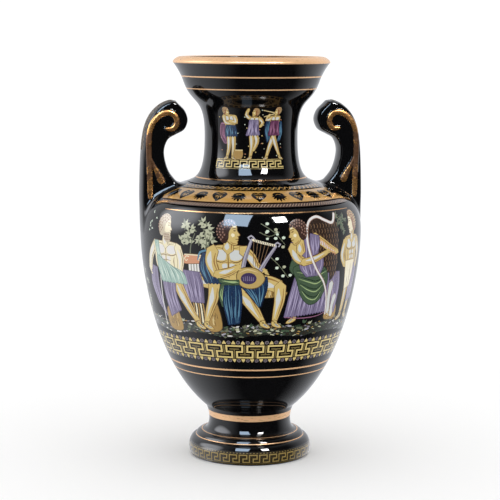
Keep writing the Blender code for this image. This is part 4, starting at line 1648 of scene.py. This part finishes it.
def left_dancer(p):
    """The dancer with crossed arms, a cloak behind and a basket at the feet."""
    p.drawn("plum_light", blob([(-24, 252), (-25.5, 244), (-21, 237), (-17, 240), (-18, 250)]))
    drape(p, "plum", [(-24, 251), (-24.5, 244), (-21, 238)], [(-19, 251), (-18, 244), (-17, 240)], 5)
    for knee, ankle, side in ((-17.6, -18.6, -1), (-13.8, -14.0, 1)):
        leg(p, [(knee, 245), (knee + 0.3, 235), (ankle, 228)], (3.8, 3.2, 1.8), side, *SMALL_FOOT)
    patch(p, "stone", [(-12.4, 226.5), (-12.8, 232), (-6.6, 232), (-7.2, 226.5)], "stone_dark")
    for k in range(6):
        p.drawn("stone_light", oval((-11.8 + 1.0 * k, 232.4), (0.6, 0.6), 6))
    torso(p, (-21.5, 257.6), (-12, 257.4), (-19.5, 249), (-13, 249))
    drape(p, "blue", [(-20, 250.5), (-20.6, 246), (-20.4, 242.6)], [(-12, 250.5), (-11, 246), (-10.6, 243)],
          8)
    limb(p, [(-21, 257), (-20, 252.6), (-14, 252.2)], (3, 2.7, 2.0))
    limb(p, [(-12.4, 257), (-11.4, 252.6), (-16.6, 253.6)], (3, 2.7, 2.0))
    head(p, (-18.4, 260.4), 5.6, 1, tilt=-8)


def middle_dancer(p):
    """The dancer who stands on one leg with an arm raised."""
    leg(p, [(0.2, 246), (0.6, 236), (-0.6, 228)], (3.8, 3.4, 1.8), -1, *SMALL_FOOT)
    limb(p, [(2.6, 246), (4.4, 239), (1.6, 232.4)], (3.6, 3.0, 1.8))
    torso(p, (-1.6, 256.6), (6.4, 256.2), (-0.2, 249.6), (5.0, 249.6))
    drape(p, "violet", [(-1.4, 254.5), (-2.2, 249), (-4.0, 243.6)], [(5.6, 254.5), (5.4, 249), (6.4, 244)],
          10)
    limb(p, [(-1.2, 256), (-3.4, 258.4), (-1.6, 262.4)], (2.6, 2.3, 1.6))
    limb(p, [(6.2, 255.6), (8.6, 252.6), (6.6, 249.6)], (2.6, 2.3, 1.6))
    head(p, (3.0, 260.0), 5.5, -1, tilt=10)


def right_dancer(p):
    """The dancer who blows a double pipe, with a cloak behind."""
    drape(p, "blue", [(11.5, 254), (10.4, 246), (12, 238.6)], [(15, 254), (14.4, 246), (14.6, 240)], 5)
    drape(p, "blue", [(21.6, 254), (22.6, 246), (20.6, 239)], [(24.6, 253), (25.4, 246), (23.6, 240)], 5)
    leg(p, [(18.6, 245), (14.6, 236), (11.6, 228)], (3.8, 3.2, 1.8), -1, *SMALL_FOOT)
    leg(p, [(16.6, 245), (19.6, 236), (22.4, 228.4)], (3.8, 3.2, 1.8), 1, *SMALL_FOOT)
    torso(p, (14.2, 257), (22.6, 257), (15.4, 250), (21, 250))
    drape(p, "plum", [(15, 254), (14.2, 249), (13, 243.6)], [(21.8, 254), (22, 249), (23, 243.6)], 9)
    limb(p, [(15, 256), (11.4, 254.6), (13.6, 258.4)], (2.6, 2.2, 1.5))
    p.stroke("stone_light", [(17.8, 259.6), (8.6, 261.6)], (0.7, 0.5))
    p.stroke("stone_light", [(17.8, 259.2), (9.4, 256.8)], (0.7, 0.5))
    head(p, (19.4, 260.6), 5.6, -1)


def dancers(p, back):
    """The small figures on the neck, in short tunics; the middle one alone on the back."""
    p.pen = SMALL_PEN
    p.swaps = AUBURN
    for dancer in ((middle_dancer,) if back else (left_dancer, middle_dancer, right_dancer)):
        dancer(p)
    p.pen = 1.0
    p.swaps = {}
    if back:
        return
    rng = np.random.default_rng(31)
    for k in range(FLECKS):
        place = (rng.uniform(*FLECKS_ACROSS), rng.uniform(*FLECKS_UP))
        p.under(FLECK_TONES[k % 4], oval(place, (0.5, 0.45), 4))


def foot_painting(p):
    """Greek key round the foot, in dull gold on brown, with a row of dashes over it."""
    base, top, low, high = map(
        OUTSIDE.at_height, (FOOT_KEY_LOW, FOOT_KEY_HIGH, FOOT_PRINT_LOW, FOOT_PRINT_HIGH))
    p.ring("foot_brown", low, high)
    p.keys("foot_gold", greek_key(*FOOT_KEY_TURNS), FOOT_KEYS, FOOT_RADIUS, base, top, FOOT_KEY_WIDTH)
    p.keys("foot_gold", FOOT_DASH, FOOT_DASHES, FOOT_RADIUS, high - FOOT_DASH_RISE, high, FOOT_EDGE_WIDTH)
    p.ring("foot_gold", low, low + FOOT_EDGE_WIDTH)


def border_keys(p, radius, low, high):
    """Interlocking keys in gold, each round a T in olive."""
    r = BORDER_KEY_REACH
    path = [(-r, 1.0), (0.5 + r, 1.0), (0.5 + r, 0.5), (0.5 - r, 0.5), (0.5 - r, 0.0), (1.0 + r, 0.0),
            (1.0 + r, 0.5), (1.0 - r, 0.5), (1.0 - r, 1.0)]
    p.keys("key_gold", path, BORDER_KEYS, radius, low, high, BORDER_KEY_WIDTH)
    for x, bar, end in BORDER_T_BARS:
        for path in ([(x - BORDER_T_HALF, bar), (x + BORDER_T_HALF, bar)], [(x, bar), (x, end)]):
            p.keys("key_olive", path, BORDER_KEYS, radius, low, high, BORDER_T_WIDTH)


def border_painting(p):
    """Gold band of interlocking T keys under the figures, between rows of rosettes and points."""
    low = OUTSIDE.at_height(BORDER_KEY_LOW)
    high = OUTSIDE.at_height(BORDER_KEY_HIGH)
    radius = float(OUTSIDE.at((low + high) / 2)[0])
    border_keys(p, radius, low, high)
    pitch = 2 * p.edge / BORDER_PAIRS
    stretch = p.reference / radius
    for height, up in zip(BORDER_ROWS, (-1, 1)):
        along = OUTSIDE.at_height(height)
        for k in range(BORDER_PAIRS):
            x = (k + 0.25) * pitch - p.edge
            for colour, wide, tall, corners in ROSETTE_RINGS:
                p.add(colour, oval((x, along), (wide * stretch, tall), corners))
            tip = x + pitch / 2
            p.add("key_gold", [(tip + px * stretch, along + py * up) for px, py in POINT_SHAPE])


def decal_edge(along, side):
    """Angle at which the shoulder's printed bands end."""
    return DECAL_RIGHT if side > 0 else float(np.interp(along, *zip(*DECAL_LEFT)))


def both_sides(rays):
    """Rays from one side to the other, from those of one half, which end in the middle."""
    return [(-turn, reach) for turn, reach in rays] + list(rays[-2::-1])


def palmette(p, x, along, kind):
    """A black palmette or lotus on the gold band, its leaves pointing down and outwards."""
    stretch = p.reference / PALMETTE_RADIUS

    def put(colour, points, up=0.0):
        p.add(colour, [(x + px * stretch, along + up + py) for px, py in points])

    if kind == "lotus":
        mirrored = [(-px, py) for px, py in LOTUS_HALF[-2:0:-1]]
        put("black", blob(LOTUS_HALF + mirrored))
        for turn, reach in both_sides(LOTUS_RAYS):
            put("band_gold", moved([(0.0, -0.8), (0.42, -reach * 0.6), (0.0, -reach), (-0.42, -reach * 0.6)],
                                   turn=turn), 1.8)
        put("band_gold", ribbon([(-3.6, 4.6), (0.0, 3.0), (3.6, 4.6)], (0.3, 0.5, 0.3)))
        return
    for turn, reach in both_sides(PALMETTE_RAYS):
        put("black", moved(blob([(0.0, 0.0), (1.0, -reach * 0.62), (0.0, -reach), (-1.0, -reach * 0.62)]),
                           turn=turn), 2.4)
    put("black", oval((0.0, 3.2), (4.4, 2.8), 12))
    put("band_gold", ribbon([(-2.2, 2.4), (0.0, 3.6), (2.2, 2.4)], (0.3, 0.5, 0.3)))


def shoulder_decal(p, centre):
    """The printed collar between the handles: waves, palmettes and a rope, then a gilt line."""
    wave_top, palm_top, palm_low, rope_low = map(
        OUTSIDE.at_height, (WAVE_TOP, PALMETTE_TOP, PALMETTE_LOW, ROPE_LOW))
    scale = math.radians(1.0) * p.reference

    def placed(degrees):
        return (centre + degrees) * scale

    def strip(colour, low, high, inset=0.0):
        steps = np.linspace(low, high, 5)
        left = [(placed(decal_edge(u, -1) + inset), u) for u in steps]
        right = [(placed(decal_edge(u, 1) - inset), u) for u in steps]
        p.add(colour, left + right[::-1])

    strip("band_gold", palm_low, wave_top)
    strip("black", palm_top + WAVE_INSET[0], wave_top - WAVE_INSET[1], WAVE_INSET[2])
    middle = (palm_top + wave_top) / 2
    wave = ribbon(WAVE_SHAPE, (0.5, 1.2, 1.2, 0.8), CURVE_STEP)
    for k in range(WAVES):
        x = placed(WAVE_FIRST + k * WAVE_STEP)
        p.add("band_gold", [(x + px * p.reference / WAVE_RADIUS, middle + py) for px, py in wave])
    for k in range(PALMETTES):
        kind = "lotus" if k % 2 else "palmette"
        palmette(p, placed(PALMETTE_FIRST + k * PALMETTE_STEP), (palm_low + palm_top) / 2, kind)
    strip("rope_brown", rope_low, palm_low)
    strip("black", palm_low - ROPE_SHADOW, palm_low)
    low = rope_low + ROPE_INSET[0]
    high = palm_low - ROPE_INSET[1]
    for k in range(ROPE_TURNS):
        x = placed(ROPE_FIRST + k * ROPE_STEP)
        left = x - ROPE_SLANT
        right = x + ROPE_SLANT
        p.add("rope_light", [(left - ROPE_HALF, low), (left + ROPE_HALF, low),
                             (right + ROPE_HALF, high), (right - ROPE_HALF, high)])
    line = OUTSIDE.at_height(SHOULDER_LINE)
    path = [(x, line) for x in np.linspace(*map(placed, SHOULDER_LINE_ENDS), 60)]
    p.add("gold", ribbon(path, (0.3, 0.9, 0.9, 0.9, 0.9, 0.3), smooth=False))


def neck_painting(p):
    """The small panels of dancers on the neck, front and back, on strips of Greek key."""
    base = OUTSIDE.at_height(NECK_KEY_LOW)
    top = OUTSIDE.at_height(NECK_KEY_HIGH)
    half = NECK_KEY_WIDTH / 2
    path = greek_key(*NECK_KEY_TURNS)
    for middle in (0.0, math.radians(BACK_DEGREES) * p.reference):
        for k in range(NECK_KEYS):
            start = middle + NECK_KEY_START + k * NECK_KEY_PITCH
            for box in key_boxes(path, start, NECK_KEY_PITCH, base, top - base, half, half):
                p.add("key_gold", rectangle(*box))
        left = middle + NECK_KEY_START
        right = middle - NECK_KEY_START - NECK_RULE_SHORT
        for edge, rule in ((base, NECK_RULE_BELOW), (top, NECK_RULE_ABOVE)):
            p.add("key_gold", rectangle(left, right, edge + rule[0], edge + rule[1]))
        p.origin = middle
        dancers(p, middle > 0)
    p.origin = 0.0


def gilt_lines(lines, colour="satin_gold"):
    """Stripes of a gold, from the heights of their middles and their widths."""
    return [(OUTSIDE.at_height(z) - w / 2, OUTSIDE.at_height(z) + w / 2, colour) for z, w in lines]


def paint_outside(skin, holes):
    """The outside's bands from the foot up, plain and painted by turns."""
    at = OUTSIDE.at_height
    foot_art = Painting(FOOT_RADIUS)
    foot_painting(foot_art)
    frieze = Painting(FRIEZE_RADIUS)
    frieze_painting(frieze)
    border_painting(frieze)
    shoulder_decal(frieze, 0.0)
    shoulder_decal(frieze, BACK_DEGREES)
    neck = Painting(NECK_CHART_RADIUS)
    neck_painting(neck)
    striped_band(skin, 0.0, at(FOOT_CHART[0]))
    painted_band(skin, FOOT_CHART, foot_art)
    stripes = gilt_lines(FOOT_LINES + LOWER_LINES) + [(at(COLLAR[0]), at(COLLAR[1]), "satin_gold")]
    striped_band(skin, at(FOOT_CHART[1]), at(FRIEZE_CHART[0]), stripes)
    painted_band(skin, FRIEZE_CHART, frieze, holes)
    striped_band(skin, at(FRIEZE_CHART[1]), at(NECK_CHART[0]), gilt_lines(NECK_LINES, "gold"))
    painted_band(skin, NECK_CHART, neck)
    stripes = gilt_lines(MOUTH_LINES) + [(at(LIP_GOLD_Z), OUTSIDE.length, "satin_gold")]
    striped_band(skin, at(NECK_CHART[1]), OUTSIDE.length, stripes)


def build_glaze():
    """The whole vase as one closed skin."""
    skin = Skin()
    paint_outside(skin, build_handles(skin))
    inside = Profile(inner_stations())
    rows = inside.rows(0.0, inside.length, INSIDE_STEP, ROW_TURN)
    plain_rows(skin, inside, rows, [("satin_gold" if u < LIP_GOLD_INSIDE else "black") for u in rows[1:]])
    under = Profile(recess_stations())
    rows = under.rows(0.0, under.length, UNDER_STEP, UNDER_TURN)
    plain_rows(skin, under, rows, ["black"] * (len(rows) - 1))
    return skin


def first_on(edge, points):
    """The point that lies on an edge nearest its start, as (share of the edge, point), or None."""
    start, end = (v.co for v in edge.verts)
    run = end - start
    near = []
    for point in points:
        if point in edge.verts or not point.is_valid:
            continue
        share = (point.co - start).dot(run) / run.length_squared
        if 0.0 < share < 1.0 and (start + share * run - point.co).length < STITCH_REACH:
            near.append((share, point))
    return min(near, key=lambda pair: pair[0], default=None)


def stitch(bm):
    """Splits open edges where another open edge's point lies on them, and welds the two."""
    for _ in range(STITCH_ROUNDS):
        open_edges = [e for e in bm.edges if len(e.link_faces) == 1]
        points = {v for e in open_edges for v in e.verts}
        changed = False
        for edge in open_edges:
            found = first_on(edge, points)
            if found:
                bmesh.utils.edge_split(edge, edge.verts[0], found[0])[1].co = found[1].co
                changed = True
        bmesh.ops.remove_doubles(bm, verts=[v for v in bm.verts if v.is_boundary], dist=WELD_REACH)
        if not changed:
            return


def weld(mesh):
    """Joins the bands along their edges, and prints the triangles and any edges left open."""
    bm = bmesh.new()
    bm.from_mesh(mesh)
    bmesh.ops.remove_doubles(bm, verts=bm.verts, dist=WELD_REACH)
    stitch(bm)
    bmesh.ops.triangulate(bm, faces=[f for f in bm.faces if len(f.verts) > 3])
    print("triangles", len(bm.faces), "open edges", sum(1 for e in bm.edges if len(e.link_faces) != 2))
    bm.to_mesh(mesh)
    bm.free()


def make_object(skin, name):
    """The vase's mesh, welded, with its exact normals and a material slot for each colour."""
    mesh = bpy.data.meshes.new(name)
    mesh.from_pydata([tuple(c * MM for c in p) for p in skin.points], [], skin.faces)
    names = sorted(set(skin.colours))
    for colour in names:
        mesh.materials.append(make_material(colour))
    mesh.polygons.foreach_set("material_index", [names.index(c) for c in skin.colours])
    mesh.polygons.foreach_set("use_smooth", [True] * len(mesh.polygons))
    layer = mesh.attributes.new("true_normal", "FLOAT_VECTOR", "POINT")
    layer.data.foreach_set("vector", np.array(skin.normals, dtype=float).ravel())
    weld(mesh)
    normals = np.empty(len(mesh.vertices) * 3)
    mesh.attributes["true_normal"].data.foreach_get("vector", normals)
    mesh.normals_split_custom_set_from_vertices(normals.reshape(-1, 3).tolist())
    mesh.attributes.remove(mesh.attributes["true_normal"])
    return linked(name, mesh)


def linked(name, data):
    """A new object in the scene with this data."""
    obj = bpy.data.objects.new(name, data)
    bpy.context.collection.objects.link(obj)
    return obj


def build_camera():
    """The photograph's camera."""
    turn = math.radians(CAMERA_TURN)
    place = Vector((-CAMERA_DISTANCE * math.sin(turn), -CAMERA_DISTANCE * math.cos(turn), CAMERA_HEIGHT))
    shift = Vector((math.cos(turn), -math.sin(turn), 0.0)) * AIM_SIDE
    look = Vector((0.0, 0.0, AIM_HEIGHT)) - place
    data = bpy.data.cameras.new("photo_camera")
    data.lens = CAMERA_LENS
    data.sensor_width = CAMERA_SENSOR
    data.clip_end = CAMERA_REACH
    camera = linked("photo_camera", data)
    camera.location = place + shift
    camera.rotation_euler = (look.to_track_quat("-Z", "Y").to_matrix()
                             @ Matrix.Rotation(CAMERA_ROLL, 3, "Z")).to_euler()
    bpy.context.scene.camera = camera


def build_lights():
    """The windows, which light the vase and show in its glaze, but don't light matt surfaces."""
    for name, place, size, watts, colour in LIGHTS:
        data = bpy.data.lights.new(name, "AREA")
        data.shape = "RECTANGLE"
        data.size, data.size_y = size
        data.energy = watts
        data.color = colour
        light = linked(name, data)
        light.location = place
        light.visible_diffuse = False
        light.rotation_euler = (AIM_OF_LIGHTS - light.location).to_track_quat("-Z", "Y").to_euler()


def wall_glow(tree):
    """Strength of the walls in each direction."""
    links = tree.links
    total = None
    place = new_node(tree, "TexCoord")
    for direction, start, end, strength in WALLS:
        dot = new_node(tree, "VectorMath")
        dot.operation = "DOT_PRODUCT"
        dot.inputs[1].default_value = Vector(direction).normalized()
        links.new(place.outputs["Generated"], dot.inputs[0])
        ramp = new_node(tree, "MapRange", From_Min=start, From_Max=end, To_Min=0.0, To_Max=strength)
        ramp.interpolation_type = "SMOOTHSTEP"
        links.new(dot.outputs["Value"], ramp.inputs["Value"])
        join = new_node(tree, "Math")
        join.operation = "MAXIMUM"
        join.inputs[1].default_value = ROOM_GLOW
        links.new(ramp.outputs["Result"], join.inputs[0])
        if total is not None:
            links.new(total, join.inputs[1])
        total = join.outputs[0]
    return total


def build_room():
    """An evenly white studio, whose glaze reflections come from soft walls behind and beside."""
    world = bpy.data.worlds.new("studio")
    bpy.context.scene.world = world
    world.use_nodes = True
    tree = world.node_tree
    tree.nodes.clear()
    even = new_node(tree, "Background", Color=BACKDROP_COLOUR, Strength=BACKDROP_GLOW)
    walls = new_node(tree, "Background", Color=WALL_COLOUR)
    rays = new_node(tree, "LightPath")
    mix = new_node(tree, "MixShader")
    output = new_node(tree, "OutputWorld")
    links = tree.links
    links.new(wall_glow(tree), walls.inputs["Strength"])
    links.new(rays.outputs["Is Glossy Ray"], mix.inputs[0])
    links.new(even.outputs[0], mix.inputs[1])
    links.new(walls.outputs[0], mix.inputs[2])
    links.new(mix.outputs[0], output.inputs["Surface"])


def build_floor():
    """A pale matt floor, which the glaze doesn't mirror."""
    half = FLOOR_SIZE / 2
    mesh = bpy.data.meshes.new("floor")
    mesh.from_pydata([(x, y, 0) for x, y in rectangle(-half, half, -half, half)], [], [(0, 1, 2, 3)])
    material, inputs = new_material("pale_floor", FLOOR_COLOUR)
    inputs["Roughness"].default_value = 1.0
    inputs["Specular IOR Level"].default_value = 0.0
    mesh.materials.append(material)
    floor = linked("floor", mesh)
    floor.visible_glossy = False


build_camera()
build_room()
build_floor()
build_lights()
vase = make_object(build_glaze(), "amphora_glazed")
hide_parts("amphora")
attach(vase, "root")
bpy.context.scene.view_settings.view_transform = "Standard"
